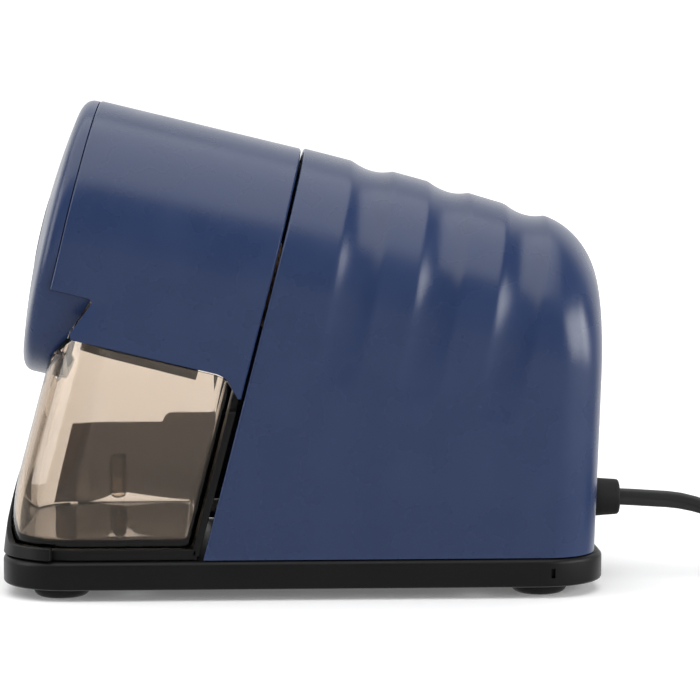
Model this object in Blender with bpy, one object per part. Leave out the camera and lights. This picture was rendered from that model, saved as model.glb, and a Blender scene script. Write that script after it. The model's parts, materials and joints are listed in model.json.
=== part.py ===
"""An electric pencil sharpener with a see-through shavings drawer.

Lengths are millimetres and are turned into metres where a mesh is made. The pencil goes in at -X,
the lead leaves at +X, +Z is up, and the feet stand on z = 0. The barrel has a frame of its own:
s runs back along the pencil's axis from the middle of the front face, and h is square to it.
"""

import math

import bmesh
import bpy
from mathutils import Vector

MM = 0.001
GAP = 0.3

# Base and feet
HALF_LENGTH = 89.0
BASE_HALF_WIDTH = 43.2
BASE_CORNER = 20.0
BASE_BOTTOM = 3.3
BASE_TOP = 11.6
BASE_LEDGE = 1.6
BASE_WALL = 2.6
FOOT_RADIUS = 8.4
FOOT_X = (-71.4, 69.5)
FOOT_Y = 30.0
SCREW_PLACES = ((-50.0, -30.0), (-50.0, 30.0), (50.0, -35.2), (50.0, 35.2))
SCREW_RADIUS = 1.8

# Barrel
FACE_X = -74.4
FACE_Z = 105.1
BARREL_TILT = math.radians(13.5)
BARREL_RADIUS = 42.2
SHELL = 2.2
CAP_RADIUS = 41.9
CAP_BULGE = 4.0
CAP_SEAM = 4.2
CAP_DEPTH = 12.0
SKIRT_STEP = -13.6
WINDOW_EDGE = -26.4
SKIRT_FRONT = 17.0
SKIRT_TOE = 12.6
SKIRT_REACH = SKIRT_FRONT - GAP

# Joint between the front and rear housings, a plane x = PARTING_X + (z - PARTING_Z) * slope
PARTING_X = -7.0
PARTING_Z = 102.0
PARTING_SLOPE = math.tan(math.radians(14.5))
PARTING_GAP = 0.9

# Rear housing
REAR_HALF_WIDTH = 42.2
REAR_FILLET = 16.0
REAR_X = 86.4
REAR_LEAN = 0.0353
ROOF_Z = 131.0
GROOVE_PLACES = (16.3, 40.7, 65.2)
GROOVE_SLOPE = 0.205
GROOVE_WIDTH = 13.0
GROOVE_DEPTH = 1.5
GROOVE_ENDS = (62.2, 56.5, 50.8)
GROOVE_FADE = 26.0
GROOVE_END_SHARE = 0.2

# Bay and receptacle
BAY_PLATE = 2.2
BAY_FLOOR_TOP = 15.0
BAY_SIDE_FRONT = -71.0
BAY_SIDE_BROW = -74.0
BAY_SIDE_CHIN = -80.5
BAY_SIDE_LOW = 16.3
BAY_SIDE_TOP = 43.0
BAY_SIDE_STEP = 46.0
BAY_SIDE_STEP_X = -40.6
BAY_SIDE_OUTER = 42.9
TRAY_HALF_WIDTH = 41.4
TRAY_CORNER = 20.0
TRAY_WALL = 2.0
TRAY_BOTTOM = 15.3
TRAY_TOP = 78.0
TRAY_KNEE_Z = 38.0
TRAY_KNEE_X = -83.6
TRAY_SLOPE = 0.27
TRAY_CURVE = 0.00624
PULL_BOTTOM = 12.0
PULL_APEX = 35.5
PULL_LOW = 15.6
PULL_ARCH = 0.7

# Cutting head: the cutter's axis meets the pencil's axis at s = APEX
APEX = 87.1
CUTTER_TILT = math.radians(11.5)
RING_TEETH = 36
PINION_TEETH = 10
RING_CONE = math.radians(15.85)
PINION_CONE = math.radians(4.351)
RING_FRONT = 13.5
RING_BACK = 19.2
RING_OUTER = 26.8
CUTTER_RADIUS = 7.0
CUTTER_FRONT = 27.7
CUTTER_BACK = 54.0
CAGE_RADIUS = 18.5
TAIL_RADIUS = 8.0
AXLE_RADIUS = 2.0

# Gear train
PRESSURE_ANGLE = math.radians(25.0)
MAIN_TEETH = 44
MAIN_MODULE = 1.0
IDLER_TEETH = 12
WHEEL_TEETH = 40
WHEEL_MODULE = 0.8
MOTOR_TEETH = 12
IDLER_Y = -17.12
IDLER_H = -22.16
MOTOR_H = -34.0

# Lead
CORD_RADIUS = 2.4
RELIEF_Z = 23.8
RELIEF_END = 97.5
COIL_CENTRE = (200.0, 13.9)
COIL_RADIUS = 28.0
COIL_HALF_BAND = 8.7
COIL_HEIGHT = 12.2
ROUTE = (
    (97.8, 0.0, 23.8),
    (106.0, 0.0, 23.3),
    (117.7, -0.3, 22.2),
    (130.0, -2.0, 18.3),
    (142.0, -5.5, 11.2),
    (153.0, -9.8, 5.2),
    (164.0, -14.2, 2.7),
    (174.0, -17.6, 2.5),
    (179.2, -18.8, 2.5),
)
CORD_STEP = 6.0


# ---------------------------------------------------------------- materials


def look(name, colour, roughness, metallic=0.0, alpha=1.0):
    """A Principled material of one colour."""
    made = bpy.data.materials.new(name)
    made.use_nodes = True
    shader = made.node_tree.nodes["Principled BSDF"]
    shader.inputs["Base Color"].default_value = (*colour, 1.0)
    shader.inputs["Roughness"].default_value = roughness
    shader.inputs["Metallic"].default_value = metallic
    shader.inputs["Alpha"].default_value = alpha
    return made


# ---------------------------------------------------------------- placing


def clear_scene():
    for obj in list(bpy.data.objects):
        bpy.data.objects.remove(obj, do_unlink=True)


def frame_empty(name, location, tilt, parent=None):
    """An empty whose X axis dips by tilt, for pieces that share a slanting axis."""
    empty = bpy.data.objects.new(name, None)
    bpy.context.scene.collection.objects.link(empty)
    empty.parent = parent
    empty.location = Vector(location) * MM
    empty.rotation_euler = (0.0, tilt, 0.0)
    return empty


def place(name, shape, surface, parent=None, origin=(0.0, 0.0, 0.0), smooth=40.0):
    """Makes an object of a shape's points and faces, with its origin at a point of the same frame."""
    points, faces = shape
    start = Vector(origin)
    mesh = bpy.data.meshes.new(name)
    mesh.from_pydata([(Vector(p) - start) * MM for p in points], [], faces)
    work = bmesh.new()
    work.from_mesh(mesh)
    bmesh.ops.remove_doubles(work, verts=work.verts, dist=1e-7)
    bmesh.ops.dissolve_degenerate(work, edges=work.edges, dist=1e-8)
    bmesh.ops.recalc_face_normals(work, faces=work.faces)
    work.to_mesh(mesh)
    work.free()
    mesh.shade_smooth()
    mesh.set_sharp_from_angle(angle=math.radians(smooth))
    obj = bpy.data.objects.new(name, mesh)
    bpy.context.scene.collection.objects.link(obj)
    obj.parent = parent
    obj.location = start * MM
    if surface:
        mesh.materials.append(surface)
    return obj


def combine(obj, shape, operation, parent=None):
    """Joins a hidden shape to an object, or cuts it away."""
    number = len(obj.modifiers) + 1
    tool = place(f"{obj.name}_tool_{number}", shape, None, parent)
    tool.hide_render = True
    tool.display_type = "WIRE"
    modifier = obj.modifiers.new(f"{operation.lower()} {number}", "BOOLEAN")
    modifier.operation = operation
    modifier.solver = "EXACT"
    modifier.object = tool
    return obj


def cut(obj, shape, parent=None):
    return combine(obj, shape, "DIFFERENCE", parent)


def join(obj, shape, parent=None):
    return combine(obj, shape, "UNION", parent)


# ---------------------------------------------------------------- shapes: (points, faces)


def together(*shapes):
    """Several shapes as one, for use as a single tool."""
    points, faces = [], []
    for more_points, more_faces in shapes:
        first = len(points)
        points += more_points
        faces += [[first + i for i in face] for face in more_faces]
    return points, faces


def bridge(a, b):
    """Faces between two closed rings of point numbers. A ring of one point is a tip."""
    if len(a) == 1:
        return [(a[0], b[(i + 1) % len(b)], b[i]) for i in range(len(b))]
    if len(b) == 1:
        return [(a[i], a[(i + 1) % len(a)], b[0]) for i in range(len(a))]
    count = len(a)
    return [(a[i], a[(i + 1) % count], b[(i + 1) % count], b[i]) for i in range(count)]


def loft(rings, ends="capped"):
    """A skin through rings of points. The ends are capped, or joined to each other."""
    points = [p for ring in rings for p in ring]
    numbered, first = [], 0
    for ring in rings:
        numbered.append(list(range(first, first + len(ring))))
        first += len(ring)
    faces = []
    for a, b in zip(numbered, numbered[1:]):
        faces += bridge(a, b)
    if ends == "joined":
        faces += bridge(numbered[-1], numbered[0])
    else:
        faces += [ring for ring in (numbered[0], numbered[-1]) if len(ring) > 1]
    return points, faces


def lathe(profile, segments=32, y=0.0, h=0.0):
    """A profile of (x, radius) turned about a line along X. One off the axis makes a ring."""
    rings = []
    for x, radius in profile:
        if radius == 0.0:
            rings.append([(x, y, h)])
            continue
        turns = [2 * math.pi * i / segments for i in range(segments)]
        rings.append([(x, y + radius * math.cos(t), h + radius * math.sin(t)) for t in turns])
    return loft(rings, "capped" if profile[0][1] == 0.0 else "joined")


def upright(shape, x, y):
    """A shape turned about X, stood on end with its axis along Z at (x, y)."""
    points, faces = shape
    return [(x + p[2], y + p[1], p[0]) for p in points], faces


def rod(x0, x1, radius, segments=24, y=0.0, h=0.0):
    return lathe([(x0, 0.0), (x0, radius), (x1, radius), (x1, 0.0)], segments, y, h)


def tube(x0, x1, inner, outer, segments=24, y=0.0, h=0.0):
    profile = [(x0, inner), (x0, outer), (x1, outer), (x1, inner)]
    return lathe(profile, segments, y, h)


def box(low, high):
    outline = [(low[0], low[1]), (high[0], low[1]), (high[0], high[1]), (low[0], high[1])]
    return loft([[(x, y, z) for x, y in outline] for z in (low[2], high[2])])


def chamfered_box(low, high, edge):
    """A box whose upright edges and rims are cut back."""
    rings = []
    for z, inset in ((low[2], edge), (low[2] + edge, 0.0), (high[2] - edge, 0.0), (high[2], edge)):
        x0, x1, y0, y1 = low[0] + inset, high[0] - inset, low[1] + inset, high[1] - inset
        rings.append(
            [
                (x0 + edge, y0, z),
                (x1 - edge, y0, z),
                (x1, y0 + edge, z),
                (x1, y1 - edge, z),
                (x1 - edge, y1, z),
                (x0 + edge, y1, z),
                (x0, y1 - edge, z),
                (x0, y0 + edge, z),
            ]
        )
    return loft(rings)


def across_y(outline, y0, y1):
    """An outline of (x, z) drawn out along Y."""
    return loft([[(x, y, z) for x, z in outline] for y in (y0, y1)])


def along_x(outline, x0, x1, size0=1.0, size1=1.0):
    """An outline of (y, z) drawn out along X, changing size on the way."""
    rings = [
        [(x0, y * size0, z * size0) for y, z in outline],
        [(x1, y * size1, z * size1) for y, z in outline],
    ]
    return loft(rings)


def arc(centre, radius, start, end, segments):
    """Points of an arc, with its angles in degrees."""
    turns = [math.radians(start + (end - start) * i / segments) for i in range(segments + 1)]
    return [(centre[0] + radius * math.cos(t), centre[1] + radius * math.sin(t)) for t in turns]


def rounded_plan(x0, x1, half, front, rear, segments=6):
    """A rectangle in plan with its front corners (x0) and rear corners (x1) rounded."""
    return (
        arc((x1 - rear, -half + rear), rear, -90, 0, segments)
        + arc((x1 - rear, half - rear), rear, 0, 90, segments)
        + arc((x0 + front, half - front), front, 90, 180, segments)
        + arc((x0 + front, -half + front), front, 180, 270, segments)
    )


def thick_sheet(outer, inner, folded=False):
    """A wall between two grids of points. A folded one closes on itself at its last row."""
    rows, columns = len(outer), len(outer[0])
    points = [p for row in outer for p in row] + [p for row in inner for p in row]

    def number(side, row, column):
        return (side * rows + row) * columns + column

    faces = []
    for side in (0, 1):
        for r in range(rows - 1):
            for c in range(columns - 1):
                corners = ((r, c), (r, c + 1), (r + 1, c + 1), (r + 1, c))
                faces.append([number(side, *corner) for corner in corners])
    rim = [(0, c) for c in range(columns)]
    rim += [(r, columns - 1) for r in range(1, rows)]
    back = [(r, 0) for r in range(rows - 1, -1, -1)]
    if not folded:
        back = [(rows - 1, c) for c in range(columns - 2, 0, -1)] + back
    rim_pairs = list(zip(rim, rim[1:])) + list(zip(back, back[1:]))
    if not folded:
        rim_pairs.append((rim[-1], back[0]))
    for a, b in rim_pairs:
        faces.append([number(0, *a), number(0, *b), number(1, *b), number(1, *a)])
    return points, faces


# ---------------------------------------------------------------- gears


def involute(angle):
    return math.tan(angle) - angle


def tooth_angle(radius, pitch, teeth, backlash, inside):
    """Half the angle that a tooth takes at a radius."""
    base = pitch * math.cos(PRESSURE_ANGLE)
    at = math.acos(min(1.0, base / radius))
    half = math.pi / (2 * teeth) - backlash / (2 * pitch)
    swell = involute(PRESSURE_ANGLE) - involute(at)
    return half - swell if inside else half + swell


def gear_outline(teeth, module, toward, backlash=0.22, inside=False):
    """A gear's outline with one tooth's middle at the angle toward, in degrees.

    A gear with inside set has its teeth pointing in, and the outline is the hole that they leave.
    """
    pitch = teeth * module / 2
    sign = -1.0 if inside else 1.0
    tip = pitch + sign * 0.72 * module
    root = pitch - sign * 1.08 * module
    outline = []
    for i in range(teeth):
        middle = math.radians(toward) + 2 * math.pi * i / teeth
        heights = (root, pitch, tip) if inside else (root, tip)
        flank = [(r, tooth_angle(r, pitch, teeth, backlash, inside)) for r in heights]
        corners = [(r, -half) for r, half in flank] + [(r, half) for r, half in reversed(flank)]
        for radius, offset in corners:
            turn = middle + offset
            outline.append((radius * math.cos(turn), radius * math.sin(turn)))
    return outline


def shifted(shape, y, h):
    points, faces = shape
    return [(p[0], p[1] + y, p[2] + h) for p in points], faces


# ---------------------------------------------------------------- where surfaces lie


def parting_x(z):
    return PARTING_X + (z - PARTING_Z) * PARTING_SLOPE


def parting_s(h):
    """Where the front housing ends along the barrel, at a height h."""
    turn = BARREL_TILT
    reach = PARTING_SLOPE * math.sin(turn) + math.cos(turn)
    rise = PARTING_SLOPE * math.cos(turn) - math.sin(turn)
    start = PARTING_X - FACE_X + (FACE_Z - PARTING_Z) * PARTING_SLOPE - PARTING_GAP / 2
    return (start + rise * h) / reach


def roof_z(x):
    return ROOF_Z - 0.25 * x - 0.0004 * x * x


def rear_x(z):
    return REAR_X + (z - BASE_TOP) * REAR_LEAN


def tray_front(z):
    """The front of the receptacle: straight above the knee, curving upright below it."""
    below = TRAY_KNEE_Z - z
    curve = TRAY_CURVE * below * below if below > 0 else 0.0
    return TRAY_KNEE_X - TRAY_SLOPE * below + curve


def tray_back(z):
    return parting_x(z) - PARTING_GAP - BAY_PLATE - 0.6


# ---------------------------------------------------------------- base


def base_ring(z, inset):
    corner = BASE_CORNER - inset
    reach = HALF_LENGTH - inset
    plan = rounded_plan(-reach, reach, BASE_HALF_WIDTH - inset, corner, corner)
    return [(x, y, z) for x, y in plan]


def make_base(surface):
    shoulder = BASE_TOP - BASE_LEDGE
    levels = ((BASE_BOTTOM, 0.8), (BASE_BOTTOM + 0.8, 0.0), (shoulder, 0.0), (BASE_TOP, BASE_LEDGE))
    base = place("base_plate", loft([base_ring(z, inset) for z, inset in levels]), surface)
    pocket_top = BASE_TOP - BASE_WALL
    cut(base, loft([base_ring(z, BASE_WALL + 0.8) for z in (BASE_BOTTOM - 1, pocket_top)]))
    foot_bosses = [
        upright(rod(BASE_BOTTOM, pocket_top + 1, FOOT_RADIUS + 0.8, 16), x, side * FOOT_Y)
        for x in FOOT_X
        for side in (-1, 1)
    ]
    screw_bosses = [upright(rod(6.0, pocket_top + 1, 4.6, 12), x, y) for x, y in SCREW_PLACES]
    join(base, together(*foot_bosses, *screw_bosses))
    holes = [upright(rod(0.0, 20.0, SCREW_RADIUS + GAP, 12), x, y) for x, y in SCREW_PLACES]
    slots = [box((71.8, side * 42.2 - 2, 6.0), (73.0, side * 42.2 + 2, 8.8)) for side in (-1, 1)]
    cut(base, together(*holes, *slots))
    join(base, box((87.6, -9.0, 9.0), (HALF_LENGTH - 0.4, 9.0, 17.5)))
    return base


def make_feet(surface):
    profile = [(0.0, 0.0), (0.0, 6.6), (0.7, 7.9), (1.6, FOOT_RADIUS), (3.0, FOOT_RADIUS), (3.0, 0.0)]
    number = 0
    for x in FOOT_X:
        for side in (-1, 1):
            number += 1
            place(f"foot_{number}", upright(lathe(profile, 18), x, side * FOOT_Y), surface)


def make_base_screws(surface):
    for number, (x, y) in enumerate(SCREW_PLACES, 1):
        top = 14.7 if x < 0 else 26.0
        head = [(3.6, 0.0), (3.6, 2.6), (4.4, 3.5), (5.7, 3.5)]
        shank = [(5.7, SCREW_RADIUS), (top - 1, SCREW_RADIUS), (top, 0.9), (top, 0.0)]
        place(f"base_screw_{number}", upright(lathe(head + shank, 12), x, y), surface)


# ---------------------------------------------------------------- housings


def sleeve_row(s, radius, front):
    """A row of the barrel sleeve: up one wall, over the top and down the other."""
    walls = (-32.0, -26.0, -13.6, -6.0)
    over = arc((0.0, 0.0), radius, 180, 0, 24)
    chain = [(-radius, h) for h in walls] + over + [(radius, h) for h in reversed(walls)]
    return [(s if front else parting_s(h), y, h) for y, h in chain]


def make_front_housing(surface, barrel):
    outer = [
        sleeve_row(CAP_SEAM + GAP, BARREL_RADIUS - 0.8, True),
        sleeve_row(CAP_SEAM + GAP + 0.8, BARREL_RADIUS, True),
        sleeve_row(0.0, BARREL_RADIUS, False),
    ]
    inner_radius = BARREL_RADIUS - SHELL
    inner = [
        sleeve_row(CAP_SEAM + GAP, inner_radius, True),
        sleeve_row(CAP_SEAM + GAP + 0.8, inner_radius, True),
        sleeve_row(0.0, inner_radius, False),
    ]
    housing = place("front_housing", thick_sheet(outer, inner), surface, barrel)
    below = [
        (0.0, SKIRT_STEP),
        (SKIRT_FRONT - 1.0, SKIRT_STEP),
        (SKIRT_FRONT, SKIRT_STEP - 1.0),
        (SKIRT_TOE, WINDOW_EDGE + 1.5),
        (SKIRT_TOE + 0.8, WINDOW_EDGE),
        *arc((56.0, WINDOW_EDGE - 7.0), 7.0, 90, 30, 5),
        (66.0, WINDOW_EDGE - 7.5),
        (66.0, -40.0),
        (0.0, -40.0),
    ]
    return cut(housing, across_y(below, -60.0, 60.0), barrel)


def dome(radius):
    """How far the cap's face stands forward of its rim at a radius."""
    return -CAP_BULGE * (1 - (radius / CAP_RADIUS) ** 2)


def skirt_edge():
    """What the cap's side view leaves open behind its skirt, from the sleeve's edge down."""
    toe = SKIRT_TOE - GAP
    return [
        (SKIRT_REACH, SKIRT_STEP + 0.6),
        (toe, WINDOW_EDGE + 1.5),
        (CAP_DEPTH, WINDOW_EDGE - 0.6),
        (CAP_DEPTH, -60.0),
        (40.0, -60.0),
        (40.0, SKIRT_STEP + 0.6),
    ]


def make_front_cap(surface, barrel):
    face = [(dome(r), r) for r in (10.4, 20.0, 29.0, 36.0)]
    rim = [(0.3, 40.2), (1.2, 41.3), (2.4, CAP_RADIUS), (SKIRT_REACH, CAP_RADIUS)]
    skirt = [(SKIRT_REACH, CAP_RADIUS - 3.6), (3.0, CAP_RADIUS - 3.6), (1.6, 37.0)]
    collar = [
        (dome(32.0) + 2.4, 32.0),
        (dome(30.0) + 2.4, 29.2),
        (18.0, 29.2),
        (18.0, RING_OUTER + GAP),
        (dome(27.0) + 2.4, RING_OUTER + GAP),
        (dome(10.4) + 2.4, 10.4),
    ]
    cap = place("front_cap", lathe(face + rim + skirt + collar, 40), surface, barrel)
    cut(cap, across_y(skirt_edge(), -60.0, 60.0), barrel)
    low, inner_low = [math.degrees(math.asin((SKIRT_STEP - GAP) / r)) for r in (46.0, 39.5)]
    band = arc((0, 0), 46.0, low, 180 - low, 32)
    band += arc((0, 0), 39.5, 180 - inner_low, inner_low, 32)
    return cut(cap, along_x(band, CAP_SEAM, 30.0), barrel)


def groove_depth(x, z):
    """How deep the finger grooves are at a place on the side of the rear housing."""
    deepest = 0.0
    for middle, end in zip(GROOVE_PLACES, GROOVE_ENDS):
        off = (x - middle - GROOVE_SLOPE * (z - 100.0)) / (GROOVE_WIDTH / 2)
        rise = min(1.0, max(0.0, (z - end) / GROOVE_FADE))
        fall = max(0.0, 1.0 - (z - end) / (GROOVE_WIDTH / 2))
        hollow = 1.0 - off * off - fall * fall
        share = GROOVE_END_SHARE + (1 - GROOVE_END_SHARE) * rise * rise * (3 - 2 * rise)
        deepest = max(deepest, hollow * share)
    return GROOVE_DEPTH * deepest


def lean(x100):
    """The slope of the rear housing's sections, from the joint plane to the rear wall."""
    knots = ((parting_x(100.0), PARTING_SLOPE), (8.0, GROOVE_SLOPE), (72.0, GROOVE_SLOPE))
    knots += ((rear_x(100.0), REAR_LEAN),)
    for (xa, a), (xb, b) in zip(knots, knots[1:]):
        if x100 <= xb:
            return a + (b - a) * (x100 - xa) / (xb - xa)
    return REAR_LEAN


def rear_row(place_of, inset, shrink, grooved):
    """A section of the rear housing. place_of gives x at a height z."""
    half = REAR_HALF_WIDTH - inset - shrink
    spring = roof_z(place_of(85.0)) - REAR_HALF_WIDTH
    bottom = BASE_TOP + GAP
    walls = [bottom + (spring - bottom) * share for share in (0, 0.5, 0.66, 0.82)]
    chain = [(-1.0, 0.0, z) for z in walls]
    chain += [(-math.cos(t), math.sin(t), None) for t in (math.pi * i / 14 for i in range(15))]
    chain += [(1.0, 0.0, z) for z in reversed(walls)]
    row = []
    for across, up, z in chain:
        if z is None:
            z = spring + half * up
            for _ in range(3):
                z = roof_z(place_of(z)) - REAR_HALF_WIDTH + half * up
        x = place_of(z)
        sunk = groove_depth(x, z) if grooved else 0.0
        row.append((x, across * (half - sunk), z - up * sunk))
    return row


def rear_rows(inset, grooved):
    """All the sections of one skin of the rear housing, and the flat rear wall."""
    stations = [parting_x(100.0) + PARTING_GAP / 2, 2.0]
    for middle in GROOVE_PLACES:
        stations += [middle + share * GROOVE_WIDTH / 2 for share in (-1, -0.5, 0, 0.5, 1)]
    rows = []
    for x100 in stations:
        slope = lean(x100)
        rows.append(rear_row(lambda z: x100 + slope * (z - 100.0), inset, 0.0, grooved))
    fillet = REAR_FILLET - inset
    for i in range(1, 6):
        turn = math.pi / 2 * i / 5
        back = fillet * (1 - math.sin(turn)) + inset
        shrink = fillet * (1 - math.cos(turn))
        rows.append(rear_row(lambda z: rear_x(z) - back, inset, shrink, False))
    rows.append([(x, 0.0, z) for x, _, z in rows[-1]])
    return rows


def make_rear_housing(surface):
    shell = thick_sheet(rear_rows(0.0, True), rear_rows(SHELL, False), folded=True)
    housing = place("rear_housing", shell, surface)
    posts = [upright(rod(BASE_TOP + GAP, 44.0, 4.2, 10), x, y) for x, y in SCREW_PLACES[2:]]
    webs = [box((48.6, side * 39.4 - 1.6, 13.0), (51.4, side * 39.4 + 1.6, 43.0)) for side in (-1, 1)]
    join(housing, together(*posts))
    join(housing, together(*webs))
    holes = [upright(rod(5.0, 30.0, SCREW_RADIUS + GAP, 12), x, y) for x, y in SCREW_PLACES[2:]]
    exit_hole = rod(80.0, 95.0, 5.9, 24, 0.0, RELIEF_Z)
    return cut(housing, together(*holes, exit_hole))


# ---------------------------------------------------------------- bay and receptacle


def bulkhead_outline():
    """The bulkhead from the rear: an arch inside the sleeve, then the full width below it."""
    arch = BARREL_RADIUS - SHELL - 0.5
    middle = FACE_Z - parting_s(0.0) * math.sin(BARREL_TILT)
    low = BAY_FLOOR_TOP - 2.0
    lie = math.cos(math.atan(PARTING_SLOPE))
    over = [(y, middle + z * lie) for y, z in arc((0.0, 0.0), arch, 0, 180, 24)]
    return over + [(-arch, 62.0), (-arch, 56.0), (-41.6, 55.0), (-41.6, low), (41.6, low)] + [
        (41.6, 55.0),
        (arch, 56.0),
        (arch, 62.0),
    ]


def bay_side():
    """The low wall on the bay's far side, the sill under it, and the post that ties it in."""

    def end(z, reach):
        return parting_x(z) - PARTING_GAP - reach, z

    foot = BASE_TOP + GAP + 0.1
    wall = [(BAY_SIDE_FRONT, foot), end(foot, 0.4), end(BAY_SIDE_STEP, 0.4)]
    wall += [(BAY_SIDE_STEP_X, BAY_SIDE_STEP), (BAY_SIDE_STEP_X - 3.0, BAY_SIDE_TOP)]
    wall += [(BAY_SIDE_BROW, BAY_SIDE_TOP), (BAY_SIDE_CHIN, BAY_SIDE_LOW), (BAY_SIDE_FRONT, BAY_SIDE_LOW)]
    post = [end(z, reach) for z, reach in ((foot, 2.0), (foot, 0.2), (44.0, 0.2), (44.0, 2.0))]
    sill = box((BAY_SIDE_FRONT, 40.0, foot), (-36.0, BAY_SIDE_OUTER - 0.2, BAY_FLOOR_TOP - 0.2))
    return (
        across_y(wall, TRAY_HALF_WIDTH + GAP, BAY_SIDE_OUTER),
        across_y(post, 41.0, BAY_SIDE_OUTER - 0.3),
        sill,
    )


def make_bay_frame(surface, barrel):
    outline = bulkhead_outline()
    front = [(parting_x(z) - PARTING_GAP - BAY_PLATE, y, z) for y, z in outline]
    back = [(parting_x(z) - PARTING_GAP, y, z) for y, z in outline]
    frame = place("bay_frame", loft([front, back]), surface)
    floor = rounded_plan(tray_front(15.0) + 1.2, parting_x(12.0) - 1.2, 41.6, 19.0, 0.5)
    join(frame, loft([[(x, y, z) for x, y in floor] for z in (BASE_TOP + GAP, BAY_FLOOR_TOP)]))
    for shape in bay_side():
        join(frame, shape)
    screws = [upright(rod(5.0, 30.0, SCREW_RADIUS + GAP, 12), x, y) for x, y in SCREW_PLACES[:2]]
    plunger = box((-40.0, -2.1, 19.9), (-20.0, 2.1, 24.1))
    slot = [(-68.0, 16.0), (-57.7, 20.6), (-34.5, 17.2), (-34.5, 16.0)]
    cut(frame, together(*screws, plunger, across_y(slot, TRAY_HALF_WIDTH, 50.0)))
    return cut(frame, rod(50.0, 80.0, 11.3, 32), barrel)


def tray_ring(z, inset):
    half, corner = TRAY_HALF_WIDTH - inset, TRAY_CORNER - inset
    plan = rounded_plan(tray_front(z) + inset, tray_back(z) - inset, half, corner, 3.0, 6)
    return [(x, y, z) for x, y in plan]


def make_receptacle(surface, barrel):
    rounded = [(TRAY_BOTTOM, 1.2), (TRAY_BOTTOM + 1.2, 0.0)]
    heights = (20.0, 26.0, 32.0, TRAY_KNEE_Z, TRAY_TOP)
    outside = [tray_ring(z, inset) for z, inset in rounded + [(z, 0.0) for z in heights]]
    floor = TRAY_BOTTOM + TRAY_WALL
    inside = [tray_ring(z, TRAY_WALL) for z in (*reversed(heights), floor + 1.0)]
    inside.append(tray_ring(floor, TRAY_WALL + 1.0))
    tray = place("receptacle", loft(outside + inside), surface, smooth=50.0)
    clear = BARREL_RADIUS + 1.0
    low = math.degrees(math.asin((WINDOW_EDGE - 0.5) / clear))
    roof = arc((0.0, 0.0), clear, low, -180 - low, 24)
    roof += [(-60.0, WINDOW_EDGE - 0.5), (-60.0, 60.0), (60.0, 60.0), (60.0, WINDOW_EDGE - 0.5)]
    cut(tray, along_x(roof, -40.0, 110.0), barrel)
    tail = [
        (52.0, WINDOW_EDGE + 3.0),
        (52.0, WINDOW_EDGE - 0.5),
        *arc((56.0, WINDOW_EDGE - 7.5), 7.0, 90, 30, 5),
        (70.0, WINDOW_EDGE - 8.0),
        (70.0, WINDOW_EDGE + 3.0),
    ]
    return cut(tray, across_y(tail, -60.0, 60.0), barrel)


def pull_thickness(z):
    """The lip stands further out of the tray's front the lower it is."""
    drop = (PULL_APEX - z) / (PULL_APEX - PULL_BOTTOM)
    return 0.5 + 1.9 * drop * drop


def pull_top(share):
    """The lip's upper edge, a low arch that's down before it turns the corners."""
    off = min(1.0, abs(share) / PULL_ARCH)
    return PULL_LOW + (PULL_APEX - PULL_LOW) * (1 - off * off) ** 1.5


def pull_point(share, z, offset):
    """A point off the tray's front: share runs from -1 to 1, round both front corners."""
    flat = TRAY_HALF_WIDTH - TRAY_CORNER
    bend = math.radians(70.0)
    side = math.copysign(1.0, share)
    front = tray_front(z)
    if abs(share) <= 0.5:
        return front - offset, flat * share / 0.5, z
    turn = bend * (abs(share) - 0.5) / 0.5
    reach = TRAY_CORNER + offset
    x = front + TRAY_CORNER - reach * math.cos(turn)
    return x, side * (flat + reach * math.sin(turn)), z


def make_pull(surface):
    outer, inner = [], []
    for i in range(25):
        share = -1.0 + 2.0 * i / 24
        top = pull_top(share)
        heights = [PULL_BOTTOM + (top - PULL_BOTTOM) * k / 5 for k in range(6)]
        outer.append([pull_point(share, z, GAP + pull_thickness(z)) for z in heights])
        inner.append([pull_point(share, z, GAP) for z in heights])
    return place("receptacle_pull", thick_sheet(outer, inner), surface)


# ---------------------------------------------------------------- cutting head


def make_pencil_guide(surface, barrel):
    profile = [
        (-4.6, 6.6),
        (-4.6, 12.0),
        (-4.2, 12.6),
        (-3.9, 12.6),
        (-3.9, 10.1),
        (0.5, 10.1),
        (0.5, 6.4),
        (24.8, 6.4),
        (24.8, 4.25),
        (-2.4, 4.25),
    ]
    guide = place("pencil_guide", lathe(profile, 24), surface, barrel)
    ears = [box((7.2, side * 2.4 - 1.0, 5.6), (10.8, side * 2.4 + 1.0, 12.6)) for side in (-1, 1)]
    join(guide, together(*ears), barrel)
    slot = box((0.8, -1.15, 2.5), (7.0, 1.15, 9.0))
    pivot = across_y(arc((9.0, 10.5), 1.3, 0, 330, 11), -6.0, 6.0)
    cut(guide, slot, barrel)
    return cut(guide, pivot, barrel)


def make_start_lever(surface, barrel):
    outline = [
        (4.6, 3.4),
        (5.6, 7.4),
        (8.6, 8.5),
        *arc((9.0, 10.5), 2.0, -60, 90, 6),
        (4.2, 12.7),
        (2.8, 11.2),
        (2.8, 4.2),
        (3.4, 3.4),
    ]
    pivot = (9.0, 0.0, 10.5)
    lever = place("start_lever", across_y(outline, -0.8, 0.8), surface, barrel, pivot)
    pin = across_y(arc((9.0, 10.5), 1.0, 0, 330, 11), -3.3, 3.3)
    return join(lever, pin, barrel)


def make_start_switch(surface, barrel):
    body = chamfered_box((0.6, -3.2, 15.0), (10.8, 3.2, 23.0), 0.4)
    switch = place("start_switch", body, surface, barrel)
    return join(switch, box((2.9, -1.2, 14.0), (4.7, 1.2, 16.0)), barrel)


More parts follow.
